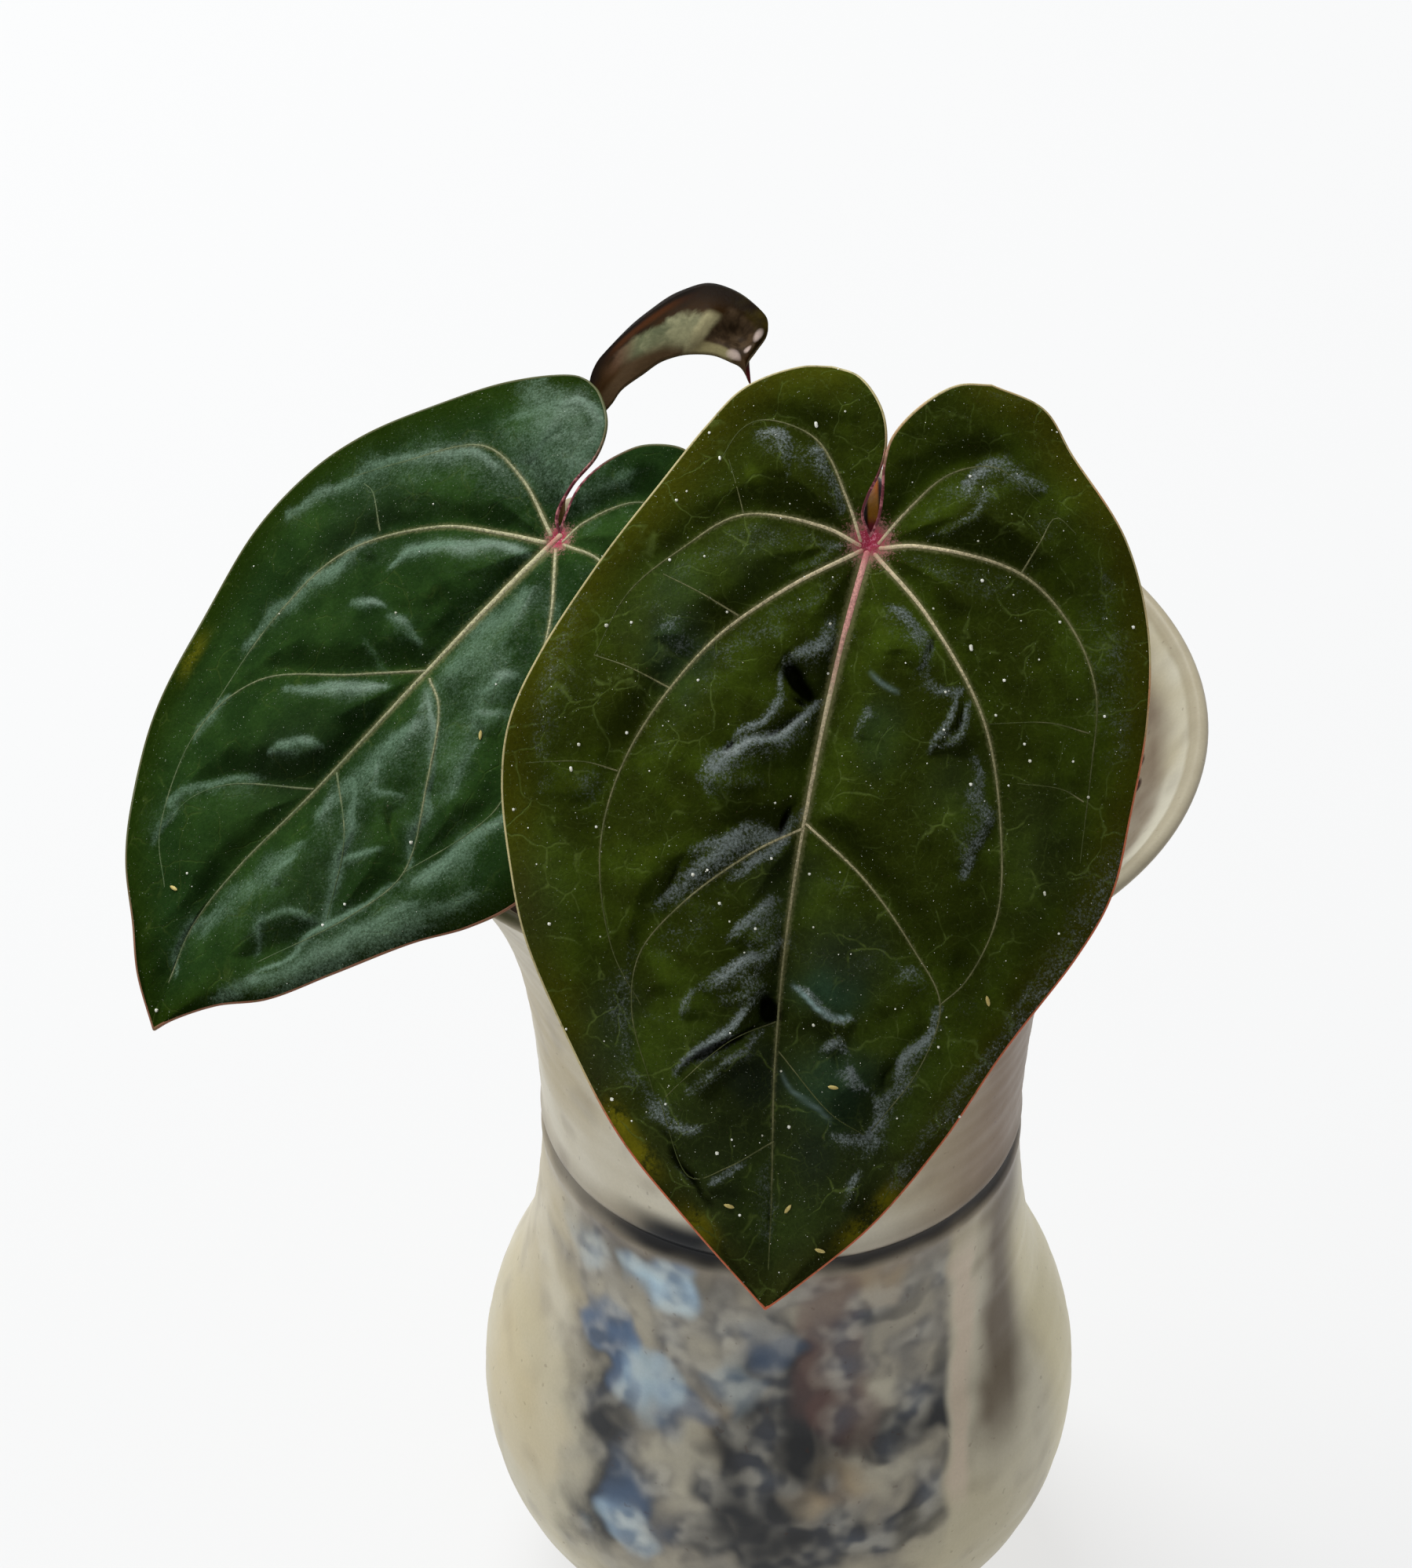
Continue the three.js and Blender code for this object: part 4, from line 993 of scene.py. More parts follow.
def bronze_material():
    """Young bronze-brown blade: a painted pale reflection and painted highlights on the near flank, a dark
    hollow and olive near the tip.
    """
    material, net, place = start_material("bronze_leaf")
    soft, grain = net.noise(place, 90, 3, 0.5), net.noise(place, 900, 2, 0.6)
    mottle = net.noise(place, 260, 3, 0.6, 0.5)
    streak = net.noise(net.stretched(place, (1, 1, 0.3)), 420, 2, 0.6)
    along, out, far, under = net.values("along", "out", "far", "under")
    near = 1 - far
    shifted = along + (mottle - 0.5) * 0.04
    warm = net.within(along, 0.14, 0.26, 0.38, 0.55) * net.rise(out, 0.04, 0.14)
    colour = net.over(
        (46, 28, 6),
        ((30, 17, 3), net.rise(soft, 0.35, 0.65)),
        ((66, 50, 32), net.rise(out, 0.6, 0.78) * near),
        ((116, 60, 14), warm * net.fall(out, 0.12, 0.3) * 0.6 * near))
    # The pale band, the lit strip and the pale lower edge make a painted reflection on the glossy near flank.
    band = net.within(along, 0.12, 0.34, 0.59, 0.65) * net.fall(out - along * 0.9, 0.3, 0.5)
    band = band * net.rise(out - (along - 0.3) * 0.4 + soft * 0.3 + (mottle - 0.5) * 0.25, 0.42, 0.58) * near
    pale = net.tint((84, 88, 62), (122, 120, 90), net.rise(along + (mottle - 0.5) * 0.5, 0.3, 0.6))
    pale = net.shade(net.tint((104, 78, 60), pale, net.rise(along, 0.2, 0.34)), 0.7 + mottle * 0.6)
    lit = net.within(shifted, 0.575, 0.61, 0.635, 0.67) * net.rise(out, 0.36, 0.5) * near
    low_edge = net.within(shifted, 0.62, 0.68, 0.8, 0.86) * net.rise(out, 0.78, 0.9) * near
    hollow = net.within(along, 0.64, 0.67, 0.84, 0.9) * net.within(out, 0.2, 0.3, 0.8, 0.86) * near
    streaky = net.tint((34, 24, 14), (76, 60, 42), net.rise(streak, 0.35, 0.65) * 0.6 + soft * 0.4)
    olive = net.rise(along, 0.55, 0.8) * net.fall(out, 0.15, 0.4) * net.rise(soft, 0.4, 0.6)
    colour = net.over(
        net.shade(colour, 0.3 + net.rise(out, 0.06, 0.5) * 0.7),
        (pale, band * 0.92),
        ((164, 156, 118), lit * (1 - net.rise(out, 0.7, 0.95) * 0.6) * 0.85),
        ((138, 130, 92), low_edge * 0.75),
        (streaky, hollow * 0.9),
        ((78, 66, 14), olive * 0.5))
    # Painted highlights on the near flank.
    for middle, level, length in YOUNG_GLINTS:
        gap = ((along - middle) / 0.016 / length) ** 2 + ((out - level) / 0.075) ** 2
        colour = net.tint(colour, (190, 170, 160), net.fall(gap, 0.0, 4.0) * near * 0.75)
    colour = net.over(colour, ((70, 18, 20), net.rise(along, 0.92, 0.97)), ((120, 104, 78), under * 0.6))
    end_material(net, net.shade(colour, 0.8 + grain * 0.4), 0.5 + (grain - 0.5) * 0.12,
                 net.bump(grain * 0.5 + soft, 0.3, 0.0006), Specular_IOR_Level=0.03)
    return material


# Stalks and crown

STALK_WIDTHS = [(0, 4.2), (0.12, 3), (0.5, 2.5), (0.86, 2.5), (0.95, 3.1), (1, 2.6)]
YOUNG_WIDTHS = [(0, 3.4), (0.15, 2.4), (0.5, 2), (0.9, 2), (1, 1.8)]
STALKS = {
    "petiole_front": ([(5.55, -4.65, 248), (9, -6, 268), (13, -9, 305), (17, -18, 342), (18.6, -32.5, 357.5),
                       (18.2, -41.5, 355.8), (17.5, -47.4, 353)], STALK_WIDTHS),
    "petiole_left": ([(-7.4, -1.65, 247.5), (-15, 0, 272), (-28, 4, 302), (-40, 4.5, 319), (-47, 0.5, 322.5),
                      (-52, -6.2, 322.3)], STALK_WIDTHS),
    "petiole_young": ([(-5.55, 6.4, 246), (-16, 10, 261), (-33, 16, 280), (-47, 20, 297), (-53, 22, 309),
                       (-52, 23.3, 318.3), (-47, 23.4, 326.2), (-44.2, 25, 332), (-43.8, 28, 336.2)],
                      YOUNG_WIDTHS),
}
STALK_RINGS = 90
SLIT_MIDDLE = 18.2


def build_stalk(name, material):
    route, widths = STALKS[name]
    line = evenly(route, STALK_RINGS)
    share = np.linspace(0, 1, len(line))
    rings = 0.06 * np.sin(share * 150) * (1 - rise(share, 0.0, 0.2))
    rings += 0.08 * np.sin(share * 420) * rise(share, 0.88, 0.94)
    radii = smooth_between(share, np.array(widths, float)) + rings
    places, faces, ring = tube(line, radii, 28, ridges=0.018)
    mesh_piece(name + "_stalk", places, faces, material, (name,), {"along": share[ring]})


def stalk_material():
    material, net, place = start_material("stalk_skin")
    along, = net.values("along")
    soft = net.noise(net.stretched(place, (1, 1, 0.3)), 160, 3, 0.55)
    streak = net.noise(net.stretched(place, (1, 1, 0.05)), 1400, 2, 0.6)
    across, _, upward = net.axes(place)
    aside = net.away(across * 1000, SLIT_MIDDLE)
    shaded = net.rise(aside, 0.8, 1.5) * net.rise(upward, 0.34, 0.35) * net.rise(across, 0.01, 0.012)
    colour = net.over(
        (104, 86, 40),
        ((122, 74, 34), net.rise(soft, 0.35, 0.65)),
        ((96, 44, 30), net.rise(along, 0.35, 0.0) * 0.6),
        ((186, 120, 32), net.rise(along, 0.8, 0.9) * 0.9),
        ((196, 104, 20), net.within(along, 0.84, 0.87, 0.9, 0.93)),
        ((128, 12, 34), net.rise(along, 0.955, 0.975)),
        ((30, 6, 4), shaded),
        ((150, 122, 76), net.fall(net.cells(place, 700, "F1"), 0.1, 0.2) * 0.4))
    end_material(net, net.shade(colour, 0.75 + streak * 0.5), 0.42 + (streak - 0.5) * 0.2,
                 net.bump(streak * 0.6 + soft * 0.4, 0.35, 0.0004), Specular_IOR_Level=0.2)
    return material


CROWN_RADIUS = 8.5
CROWN_BOTTOM = 212
CROWN_TOP = 249
SHOULDER = 236
CROWN_SIDES = 48
SHEATHS = ((250, 24, 7), (35, 20, 6), (120, 27, 7), (185, 17, 6), (315, 15, 5))
SHEATH_GRID = (26, 13)
SHEATH_THICKNESS = 0.5


def turned(radius, angles, height):
    """Places at a radius, an angle and a height about the vase's axis."""
    sides = np.broadcast_arrays(radius * np.cos(angles), radius * np.sin(angles), height)
    return np.stack(sides, axis=-1).reshape(-1, 3)


def build_crown(material, papery):
    """Ringed stem with the papery sheaths that the stalks came out of."""
    height = np.linspace(CROWN_BOTTOM, CROWN_TOP, 70)[:, None]
    over = np.clip((height - SHOULDER) / (CROWN_TOP - SHOULDER), 0, 1)
    radius = CROWN_RADIUS * np.sqrt(np.clip(1 - over ** 2, 0, 1)) + 0.35 * np.sin(height * 2.4) * (1 - over)
    angles = np.arange(CROWN_SIDES) / CROWN_SIDES * math.tau
    wide = np.maximum(radius, 0.15) * (1 + 0.04 * np.sin(3 * angles + height * 0.4))
    mesh_piece("crown_stem", turned(wide, angles, height), ring_faces(len(height), CROWN_SIDES), material,
               ("crown",))
    parts = Parts()
    for turn, length, half_width in SHEATHS:
        parts.add(*sheath(math.radians(turn), length, half_width))
    parts.piece("crown_sheaths", papery, "crown_tissue")


def sheath(turn, length, half_width):
    """A dry pointed scale wrapped round the crown, a little curled at its tip."""
    rows, columns = SHEATH_GRID
    along, across = np.meshgrid(np.linspace(0, 1, rows), np.linspace(-1, 1, columns), indexing="ij")
    spread = half_width * np.sqrt(np.clip(1 - along ** 1.6, 0, 1)) * (1 - 0.25 * along)
    angle = turn + across * spread / (CROWN_RADIUS + 1)
    reach = CROWN_RADIUS + 0.5 + 3.2 * along ** 2 + 0.4 * np.sin(across * 9 + turn) * along
    height = SHOULDER - 3 + length * along * (1 - 0.08 * across ** 2)
    sides = [turned(reach + push, angle, height) for push in (SHEATH_THICKNESS / 2, -SHEATH_THICKNESS / 2)]
    count = rows * columns
    front = grid_faces(rows, columns)
    grid = np.arange(count).reshape(rows, columns)
    border = np.concatenate([grid[0, :-1], grid[:-1, -1], grid[-1, :0:-1], grid[:0:-1, 0]])
    strip = [(b, a, count + a, count + b) for a, b in zip(border, np.roll(border, -1))]
    return np.vstack(sides), front + [[count + corner for corner in face[::-1]] for face in front] + strip


# Vase

BELLY_RADIUS = 74.4
BELLY_HEIGHT = 59.2
BELLY_TAPER = 0.04
NECK_START = 96
CREASE_HEIGHT = 146.2
CREASE_DEPTH = 1.5
WALL = 4
FLOOR = 7
VASE_SIDES = 168
NECK = [(62.6, 104), (61.1, 112), (59.9, 122), (58.9, 135), (58.6, 146.2), (59.6, 165), (61.6, 185),
        (64.9, 203.4), (70, 220), (75.4, 232.5), (82.4, 246), (89, 256), (94.8, 264)]
LIP = [(97.9, 267.1), (99, 268.5), (98.4, 269.5), (96.8, 269.8), (95, 268.7)]


def bulge(height, middle, width):
    return np.exp(-((height - middle) / width) ** 2)


def vase_outside():
    """Radius and height up the outside: a round belly, then a waist, then the flare. The cut line at the
    waist is added by build_vase.
    """
    ends = [math.asin((end - BELLY_HEIGHT) / BELLY_RADIUS) for end in (0, NECK_START)]
    angles = np.linspace(*ends, 60)
    height = BELLY_HEIGHT + BELLY_RADIUS * np.sin(angles)
    taper = BELLY_TAPER * np.clip((40 - height) / 30, 0, 1) ** 2
    belly = np.stack([BELLY_RADIUS * np.cos(angles) * (1 - taper), height], axis=1)
    shoulder = places_at(smooth_curve([tuple(belly[-1])] + NECK), np.linspace(0, 1, 131))
    return np.vstack([belly, shoulder[1:]])


def throwing_rings(height):
    """Small uneven ridges that the potter's fingers leave."""
    return 0.1 * np.sin(height * 0.9) * np.sin(height * 0.23 + 1) + 0.02 * np.sin(height * 3.1 + 2)


def build_vase(material):
    outside = vase_outside()
    radius, height = outside.T
    shoulders = 0.5 * bulge(np.abs(height - CREASE_HEIGHT), 3.4, 1.5)
    crease = shoulders - CREASE_DEPTH * bulge(height, CREASE_HEIGHT, 1.4)
    outer = np.stack([radius + throwing_rings(height) * rise(height, 2, 12) + crease, height], axis=1)
    lip = places_at(smooth_curve([tuple(outer[-1])] + LIP), np.linspace(0, 1, 26))[1:]
    radius, deep = outside[height > FLOOR + WALL][::-2].T
    ledge = 0.35 * bulge(deep, 252, 1.6) - 0.3 * bulge(deep, 243, 1.2)
    inner = np.stack([radius - WALL + throwing_rings(deep + 7) * 1.6 + ledge, deep], axis=1)
    profile = np.vstack([outer, lip, inner, [(inner[-1][0] - 6, FLOOR)]])
    angles = np.arange(VASE_SIDES) / VASE_SIDES * math.tau
    radius, height = profile.T[..., None]
    places = turned(radius * (1 + 0.0022 * np.sin(2 * angles + height * 0.02)), angles, height)
    inward = np.repeat(np.arange(len(profile)) >= len(outer) + len(lip), VASE_SIDES).astype(float)
    mesh_piece("vase_body", places, ring_faces(len(profile), VASE_SIDES), material, ("vase",),
               {"inward": inward})


# Zones of the glaze on the front: middle across and up, reach across and up, and strength.
DARK_ZONES = [((-42, 101), (5, 6), 0.8), ((-46, 85), (6, 10), 1), ((-39, 74), (6, 8), 0.9),
              ((-1.5, 122), (6, 6), 0.8), ((0, 108), (8, 10), 1), ((-6, 96), (9, 8), 1),
              ((-13, 82), (8, 6), 0.8), ((-5, 74), (9, 7), 0.9), ((8, 95), (7, 10), 0.7),
              ((30, 93), (12, 3.5), 0.7), ((38, 100), (3, 8), 0.6), ((36, 71), (6, 4), 0.9),
              ((42, 80), (3, 6), 0.7), ((23, 67), (10, 4), 0.9), ((6, 64), (13, 4.5), 1),
              ((24, 128), (10, 2.5), 0.5), ((-19, 66), (5, 5), 0.6), ((-49, 58), (7, 8), 1),
              ((-31, 138), (18, 5), 0.5)]
SLATE_ZONES = [((-41, 110), (5, 7), 1.1), ((-38, 72), (5, 8), 0.8), ((-25, 99), (5, 5), 0.7),
               ((-3, 120), (6, 5), 0.6)]
BLUE_ZONES = [((-28, 136), (5.5, 6), 1.3), ((-32, 105), (6, 6.5), 0.8), ((-37, 62), (6, 6), 0.8),
              ((-11, 109), (4, 5), 0.4), ((-47, 134), (5, 4), 0.4)]
PALE_ZONES = [((-24, 88), (7, 6), 0.9), ((24, 104), (5, 4), 0.9), ((-21, 76), (6, 5), 0.7),
              ((26, 85), (7, 5), 0.8), ((-15, 120), (8, 6), 0.6), ((-36, 122), (8, 6), 0.5)]
TAN_ZONES = [((21, 138), (8, 5), 0.9), ((11, 82), (8, 6), 0.8), ((-15, 98), (5, 6), 0.5),
             ((-66, 72), (9, 11), 1)]
BROWN_ZONES = [((11, 130), (5, 12), 1), ((11, 108), (6, 11), 0.9), ((17, 98), (6, 6), 0.8)]
# Dark spots inside the mouth, each at a turn and a height.
INNER_SPOTS = ((90, 254), (84.5, 253))


def glaze_material():
    """Mottled satin glaze: cream and taupe, blue and dark patches in front; painted shade along the cut line,
    under the front leaf and inside the mouth; the right of the neck browner, partly with painted shade.
    """
    material, net, place = start_material("mottled_glaze")
    inward, = net.values("inward")
    across, depth, upward = net.axes(place)
    aside, height = across * 1000, upward * 1000
    turn = net.math("ARCTAN2", across, 0 - depth) * (180 / math.pi)
    broad, blotch = net.noise(place, 16, 3, 0.55, 0.4), net.noise(place, 70, 4, 0.6, 0.5)
    small, cloudy = net.noise(place, 160, 1, 0.4), net.noise(place, 100, 0.6, 0.4)
    speck, iron = net.noise(place, 1300, 2, 0.6), net.noise(place, 420, 1, 0.5)
    facing = net.rise(0 - depth, 0.0, 0.02)
    warp = net.axes(net.noise(place, 85, 0.8, output=1))
    side, level = aside + (warp[0] - 0.5) * 15, height + (warp[1] - 0.5) * 15
    drifted = aside + (cloudy - 0.5) * 5

    def zones(marks):
        total = 0.0
        for middle, reach, strength in marks:
            x = (side - middle[0]) / reach[0]
            z = (level - middle[1]) / reach[1]
            total = net.fall(x * x + z * z, 0.0, 3.4) * strength + total
        return total * facing

    def cloud(marks, full=1.2):
        """Soft uneven clouds of one colour, gathered in its zones."""
        return net.rise(zones(marks) + (cloudy - 0.5) * 0.8, -0.1, full)

    left, right = side + (blotch - 0.5) * 8, aside + (cloudy - 0.5) * 4
    lowest = level + (blotch - 0.5) * 20 - net.rise(side, 8.0, 60.0) * 30
    front = net.rise(left, -58.0, -44.0) * net.fall(right, 39.0, 42.0) * facing
    front = front * net.fall(height, 141.0, 146.0) * net.rise(lowest, 24.0, 62.0)
    sky = net.tint((150, 180, 208), (184, 212, 226), net.rise(small, 0.25, 0.75))
    freckled = net.tint((60, 58, 60), (186, 180, 164), net.rise(small, 0.35, 0.65))
    panel = net.over(
        (152, 146, 131),
        ((104, 100, 94), net.rise(cloudy * 0.5 + small * 0.5, 0.4, 0.58)),
        ((196, 190, 170), cloud(PALE_ZONES) * 0.8),
        ((170, 144, 106), cloud(TAN_ZONES) * 0.75),
        ((22, 28, 38), cloud(DARK_ZONES, 0.85)),
        ((96, 66, 62), cloud(BROWN_ZONES) * 0.7),
        ((70, 96, 128), cloud(SLATE_ZONES, 1.05)),
        (sky, cloud(BLUE_ZONES) * 0.95),
        (freckled, net.rise(cloudy, 0.3, 0.7) * 0.5))
    warm = net.tint((196, 190, 172), (172, 160, 130), net.rise(broad, 0.4, 0.66))
    stripe = net.within(drifted, 40.0, 43.0, 45.0, 48.0) * facing
    stripe = stripe * net.within(height, 62.0, 76.0, 128.0, 140.0)
    brown = net.within(drifted, 46.0, 53.0, 56.0, 63.0) * facing
    brown = brown * net.within(height, 64.0, 92.0, 225.0, 245.0)
    # Browner on the right of the neck: partly the glaze's own tan, partly painted shade.
    neck_tan_and_shade = net.within(turn, 18.0, 56.0, 84.0, 104.0) * net.within(height, 140.0, 152.0, 215.0, 250.0)
    lit = net.within(turn, 62.0, 76.0, 100.0, 150.0) * net.fall(height, 110.0, 140.0)
    # Painted shade along the cut line: a soft brown band and a dark line, fainter on the left and at the
    # back.
    band = net.away(height - (cloudy - 0.5) * 3, CREASE_HEIGHT)
    cut_line_shade = 0.4 + net.within(turn, -62.0, -36.0, 110.0, 165.0) * 0.55
    # Painted shade under the front leaf, just above the cut line.
    above = net.fall(net.away(height, CREASE_HEIGHT + 3.5), 2.0, 9.0)
    under_leaf_shade = above * net.fall(net.away(turn, -24) + (cloudy - 0.5) * 16, 5.0, 24.0)
    # Painted shade inside the mouth, below the lip.
    hollow = net.rise(height, 236.0, 250.0) * net.fall(height + (cloudy - 0.5) * 7, 259.0, 266.0)
    colour = net.over(
        warm,
        ((184, 177, 150), net.fall(height, 20.0, 150.0) * 0.8),
        ((132, 122, 106), net.rise(cloudy, 0.5, 0.8) * 0.35),
        ((188, 168, 120), zones(TAN_ZONES[3:]) * 0.3),
        (panel, front * 0.95),
        ((198, 182, 162), stripe * 0.85),
        ((80, 64, 44), brown * 0.85),
        ((116, 92, 66), neck_tan_and_shade * 0.85),
        ((112, 98, 82), net.fall(band, 1.0, 12.0) * 0.5),
        ((34, 32, 32), net.fall(band, 0.6, 4.0) * cut_line_shade),
        ((212, 202, 164), lit * 0.85),
        ((14, 16, 20), under_leaf_shade),
        ((116, 100, 84), inward * hollow * (0.5 + small * 0.5)))
    for angle, spot_height in INNER_SPOTS:
        gap = ((turn - angle) / 1.5) ** 2 + ((height - spot_height) / 1.6) ** 2
        colour = net.tint(colour, (52, 30, 24), net.fall(gap, 0.4, 1.6) * inward)
    foot = net.fall(height, 0.6, 2.2)
    colour = net.over(
        colour,
        ((150, 138, 112), net.rise(height + (blotch - 0.5) * 2, 267.2, 268.6) * 0.7),
        ((70, 46, 34), net.rise(iron, 0.72, 0.76) * 0.25))
    colour = net.tint(net.shade(colour, 0.92 + speck * 0.16), (150, 128, 100), foot)
    normal = net.bump(blotch * 0.6 + small * 0.3 + speck * 0.08, 0.25, 0.0006)
    end_material(net, colour, 0.4 + (blotch - 0.5) * 0.25 + foot * 0.4, normal, Specular_IOR_Level=0.16,
                 Coat_Weight=0.06, Coat_Roughness=0.2)
    return material


# Potting mix

MIX_RADIUS = 72
MIX_HEIGHT = 235.5
MIX_RINGS = 14
MIX_SIDES = 48


def bark_material(name, light, dark, pale):
    material, net, place = start_material(name)
    broad = net.noise(place, 60, 3, 0.6)
    fibre = net.noise(net.stretched(place, (1, 0.25, 1)), 700, 3, 0.7)
    colour = net.over(dark, (light, net.rise(broad, 0.35, 0.65)), (pale, net.rise(fibre, 0.6, 0.8) * 0.5))
    end_material(net, net.shade(colour, 0.6 + fibre * 0.8), 0.85 + (fibre - 0.5) * 0.2,
                 net.bump(fibre + broad * 0.5, 0.7, 0.001), Specular_IOR_Level=0.3)
    return material


class Scatter:
    """A geometry-node tree that scatters small bodies over a surface, as one plain mesh."""

    def __init__(self, name, **numbers):
        self.name = name
        self.tree = bpy.data.node_groups.new(name, "GeometryNodeTree")
        self.net = Net(self.tree)
        self.socket("Surface", "NodeSocketGeometry")
        self.socket("Result", "NodeSocketGeometry", "OUTPUT")
        self.inputs = []
        for key, value in numbers.items():
            kind = "NodeSocketInt" if isinstance(value, int) else "NodeSocketFloat"
            self.inputs.append((self.socket(key, kind), value))
        source = self.tree.nodes.new("NodeGroupInput")
        self.held = {key: Socket(self.net, source.outputs[key]) for key in ("Surface", *numbers)}

    def socket(self, name, kind, way="INPUT"):
        return self.tree.interface.new_socket(name, in_out=way, socket_type=kind)

    def spread(self, points, body, **sockets):
        """A copy of the body on each point, made into one plain mesh."""
        sockets.update(Points=points, Instance=body)
        copies = self.net.node("GeometryNodeInstanceOnPoints", None, sockets)
        return self.net.node("GeometryNodeRealizeInstances", None, {"Geometry": copies})

    def bake(self, surface, geometry, material):
        """Runs the tree on a surface and registers what it makes as a plain mesh piece."""
        sockets = {"Geometry": geometry, "Material": material}
        finished = self.net.node("GeometryNodeSetMaterial", None, sockets)
        self.net.node("NodeGroupOutput", None, {0: finished})
        modifier = surface.modifiers.new(self.name, "NODES")
        modifier.node_group = self.tree
        for socket, value in self.inputs:
            modifier[socket.identifier] = value
        graph = bpy.context.evaluated_depsgraph_get()
        mesh = bpy.data.meshes.new_from_object(surface.evaluated_get(graph))
        mesh.name = self.name
        surface.modifiers.remove(modifier)
        register(new_object(self.name, mesh))


def scatter_chips(name, surface, material, spacing, size, seed, least, most):
    """Small rough bodies lying at all angles, spaced so that they barely touch."""
    scatter = Scatter(name, Spacing=spacing * MM, Size=size * MM, Roughness=size * MM * 0.35, Seed=seed)
    net, held = scatter.net, scatter.held
    points = net.node("GeometryNodeDistributePointsOnFaces", {"distribute_method": "POISSON"},
                      {"Mesh": held["Surface"], "Distance Min": held["Spacing"], "Density Max": 400000.0,
                       "Seed": held["Seed"]})
    body = net.node("GeometryNodeMeshCube", None,
                    {"Size": held["Size"], "Vertices X": 4, "Vertices Y": 3, "Vertices Z": 3})
    turn, scale = (net.node("FunctionNodeRandomValue", {"data_type": "FLOAT_VECTOR"},
                            {0: low, 1: high, "Seed": held["Seed"]})
                   for low, high in (((-0.7, -0.7, 0.0), (0.7, 0.7, 6.28)), (least, most)))
    real = scatter.spread(points, body, Rotation=turn, Scale=scale)
    bumps = net.node("ShaderNodeTexNoise", None, {"Scale": 1.2 / (size * MM), "Detail": 2.0}, 1)
    shift = net.node("ShaderNodeVectorMath", {"operation": "SUBTRACT"}, {0: bumps, 1: (0.5, 0.5, 0.5)})
    rough = net.node("GeometryNodeSetPosition", None,
                     {"Geometry": real, "Offset": net.shade(shift, held["Roughness"] * 2)})
    scatter.bake(surface, rough, material)


def scatter_dust(name, surface, material, density, seed):
    """Dust grains lying on a blade."""
    scatter = Scatter(name, Density=density, Radius=DUST_RADIUS * MM, Seed=seed)
    net, held = scatter.net, scatter.held
    points = net.node("GeometryNodeDistributePointsOnFaces", None,
                      {"Mesh": held["Surface"], "Density": held["Density"], "Seed": held["Seed"]})
    grain = net.node("GeometryNodeMeshIcoSphere", None, {"Radius": held["Radius"], "Subdivisions": 1})
    draw = net.node("FunctionNodeRandomValue", {"data_type": "FLOAT"},
                    {2: 0.0, 3: 1.0, "Seed": held["Seed"]}, 1)
    scatter.bake(surface, scatter.spread(points, grain, Scale=0.4 + draw ** 7 * 2.0), material)


def build_mix():
    """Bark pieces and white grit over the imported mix."""
    bark = bark_material("bark_chip", (112, 78, 50), (58, 38, 26), (150, 118, 84))
    soil = bark_material("packed_bark", (84, 60, 42), (40, 27, 19), (112, 88, 64))
    grit = bark_material("white_grit", (216, 212, 200), (182, 176, 160), (236, 234, 226))
    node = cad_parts["potting_mix"]
    node.data.materials.clear()
    node.data.materials.append(soil)
    radius = np.linspace(CROWN_RADIUS + 3, MIX_RADIUS - 4, MIX_RINGS)[:, None]
    places = turned(radius, np.arange(MIX_SIDES) / MIX_SIDES * math.tau, MIX_HEIGHT + 0.6)
    mesh = new_mesh("mix_surface", places, grid_faces(MIX_RINGS, MIX_SIDES, wrap=True))
    surface = new_object("mix_surface", mesh)
    scatter_chips("bark_chips", surface, bark, 5.2, 6.4, 4, (0.7, 0.5, 0.3), (1.5, 1.0, 0.6))
    scatter_chips("white_grits", surface, grit, 13, 3.4, 9, (0.7, 0.7, 0.6), (1.2, 1.1, 1.0))
    bpy.data.objects.remove(surface)


# Stage

CAMERA_PLACE = (-18.5, -1151.427, 1179.731)
CAMERA_PITCH = 39
CAMERA_LENS = 144.144
CAMERA_SENSOR = 36
FLOOR_REACH = 6000


def build_floor():
    material, net, place = start_material("pale_floor")
    colour = net.tint((124, 124, 124), (122, 122, 122), net.noise(place, 3, 2, 0.5))
    normal = net.bump(net.noise(place, 600, 2, 0.5), 0.05, 0.0002)
    end_material(net, colour, 0.9, normal, Specular_IOR_Level=0.1, Emission_Color=(1, 1, 1, 1),
                 Emission_Strength=0.68)
    corners = [(x * FLOOR_REACH, y * FLOOR_REACH, 0) for x, y in ((-1, -1), (1, -1), (1, 1), (-1, 1))]
    new_object("floor", new_mesh("floor", corners, [range(4)], material))


def area_light(name, place, aim, size, power, colour=(1, 1, 1)):
    lamp = bpy.data.lights.new(name, "AREA")
    lamp.shape = "RECTANGLE"
    lamp.size, lamp.size_y = (side * MM for side in size)
    lamp.energy = power
    lamp.color = colour
    light = new_object(name, lamp)
    light.location = Vector(place) * MM
    light.rotation_euler = (Vector(aim) - Vector(place)).to_track_quat("-Z", "Y").to_euler()


def build_studio():
    world = bpy.data.worlds.new("studio")
    world.use_nodes = True
    world.node_tree.nodes.clear()
    net = Net(world.node_tree)
    sky = net.node("ShaderNodeBackground", None, {"Color": (1, 1, 1, 1), "Strength": 0.42})
    net.node("ShaderNodeOutputWorld", None, {"Surface": sky})
    scene = bpy.context.scene
    scene.world = world
    scene.view_settings.view_transform = "Standard"
    scene.view_settings.look = "None"
    area_light("window", (-900, 1300, 2750), (0, 0, 250), (2000, 1700), 104, (0.95, 0.98, 1))
    area_light("fill", (-3000, -600, 1000), (0, 0, 150), (1800, 1800), 20)


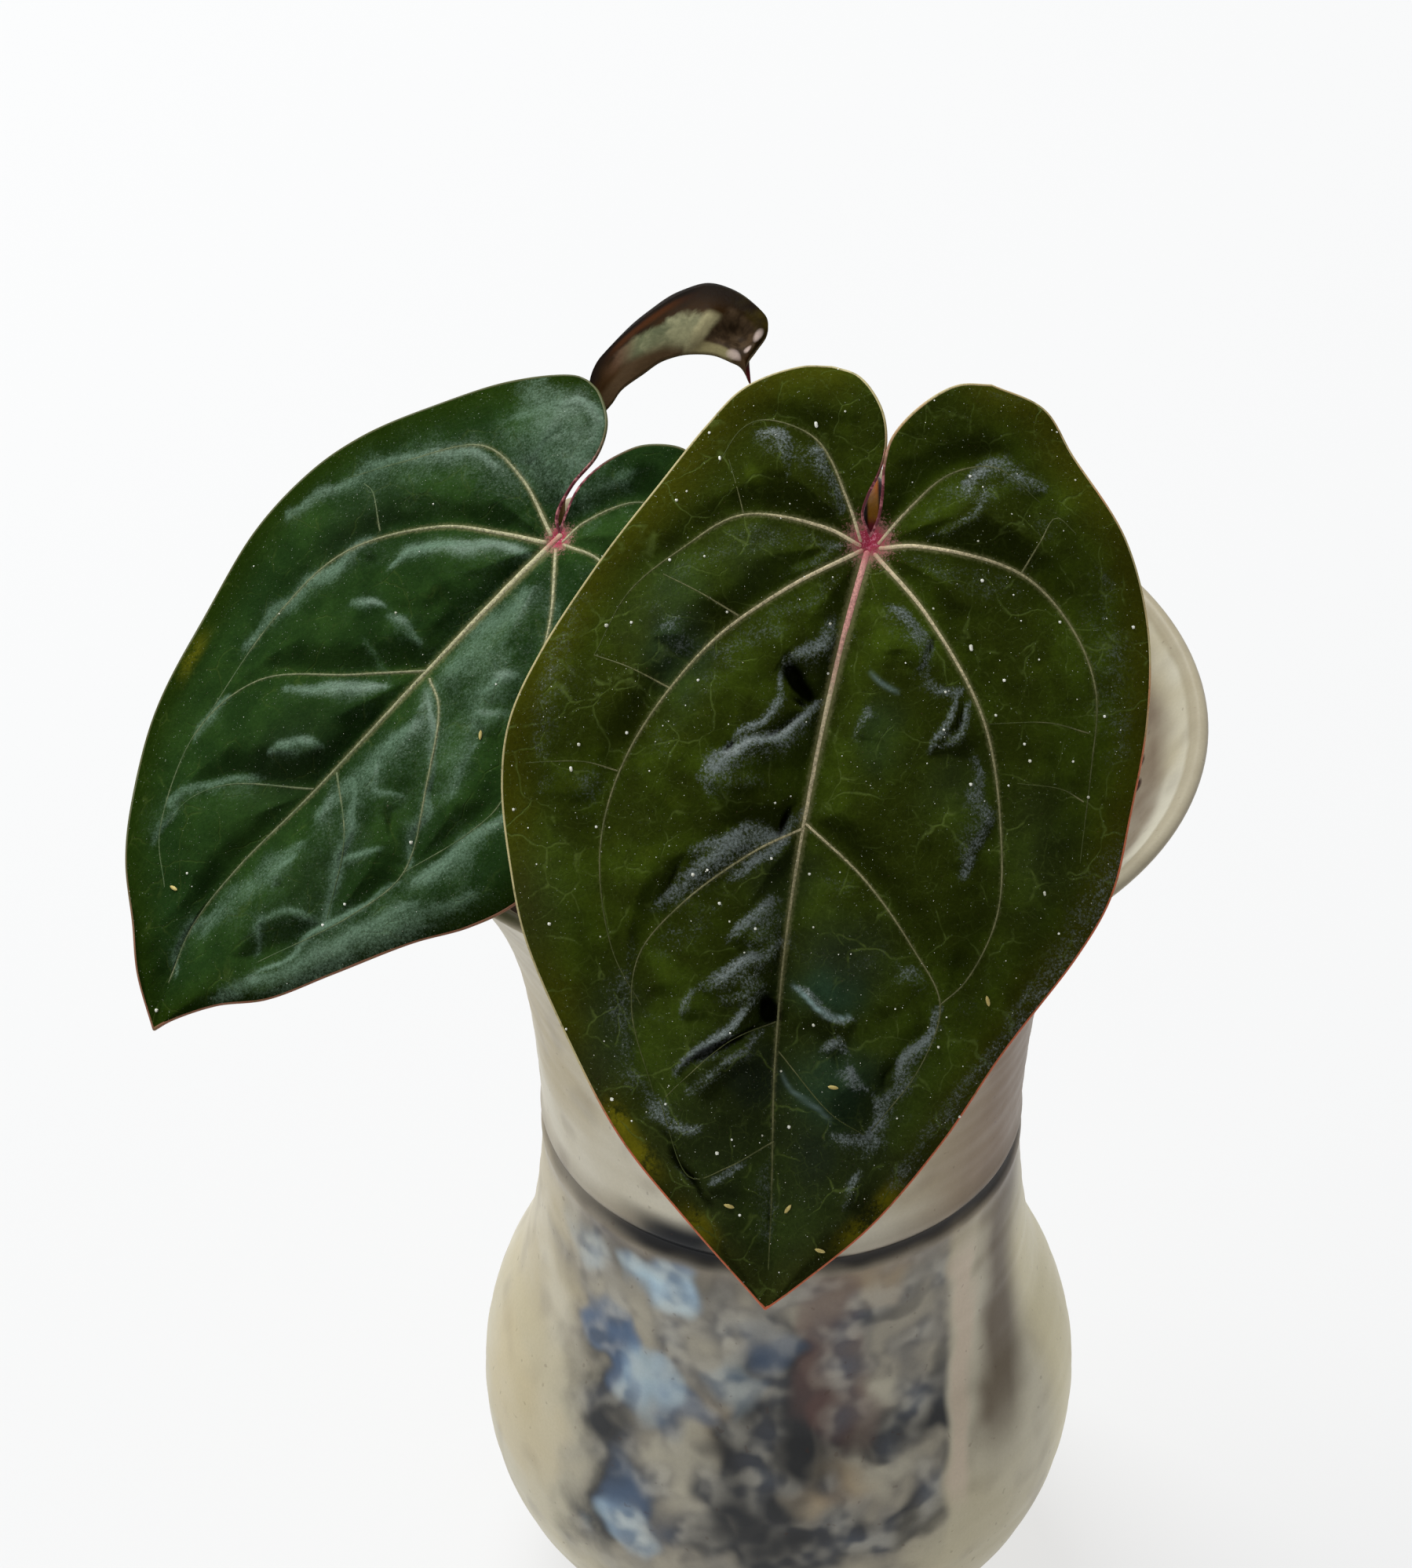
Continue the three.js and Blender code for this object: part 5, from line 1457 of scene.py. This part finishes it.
def build_camera():
    data = bpy.data.cameras.new("camera")
    data.lens = CAMERA_LENS
    data.sensor_width = CAMERA_SENSOR
    data.clip_end = 20
    camera = new_object("camera", data)
    camera.location = Vector(CAMERA_PLACE) * MM
    camera.rotation_euler = (math.radians(90 - CAMERA_PITCH), 0, 0)
    bpy.context.scene.camera = camera


# Building

def dust_material():
    material, net, place = start_material("dust_grain")
    soft = net.noise(place, 900, 1, 0.5)
    husk, = net.values("husk")
    colour = net.over(
        (236, 236, 226),
        ((190, 190, 170), net.rise(soft, 0.4, 0.7)),
        (net.tint((212, 196, 124), (150, 128, 62), soft), husk))
    end_material(net, colour, 0.8, net.bump(soft, 0.1, 0.0001))
    return material


def build_leaves():
    dust = dust_material()
    skins = (velvet_material("velvet_front", (39, 47, 9), (56, 71, 15), (55, 55, 7), (92, 100, 98), 1.0, 1.0),
             velvet_material("velvet_left", (27, 47, 18), (40, 64, 25), (24, 36, 1), (90, 114, 93), 0.3, 0.4))
    veins = (vein_material("vein_front", (206, 192, 156), (132, 128, 92), (62, 70, 30)),
             vein_material("vein_left", (182, 176, 140), (122, 124, 92), (60, 82, 48)))
    rims = (rim_material("rim_front", (172, 160, 112), (184, 92, 56)),
            rim_material("rim_left", (74, 78, 36), (118, 74, 48)))
    dusting = ((24000.0, 3), (5000.0, 5))
    for leaf, skin, vein, rim, (density, seed) in zip((FRONT_LEAF, LEFT_LEAF), skins, veins, rims, dusting):
        blade = Blade(leaf)
        piece = blade.build(skin, f"leaf_{leaf['name']}")
        blade.build_veins(vein)
        blade.build_rim(rim)
        blade.build_litter(dust)
        scatter_dust(f"dust_{leaf['name']}", piece, dust, density, seed)
    young_blade(bronze_material())


def build_stems():
    skin = stalk_material()
    for name in STALKS:
        build_stalk(name, skin)
    build_crown(bark_material("crown_skin", (120, 100, 56), (74, 62, 34), (160, 140, 96)),
                bark_material("papery_sheath", (150, 116, 70), (96, 66, 38), (190, 160, 112)))


build_camera()
build_floor()
build_studio()
build_leaves()
build_stems()
build_vase(glaze_material())
build_mix()
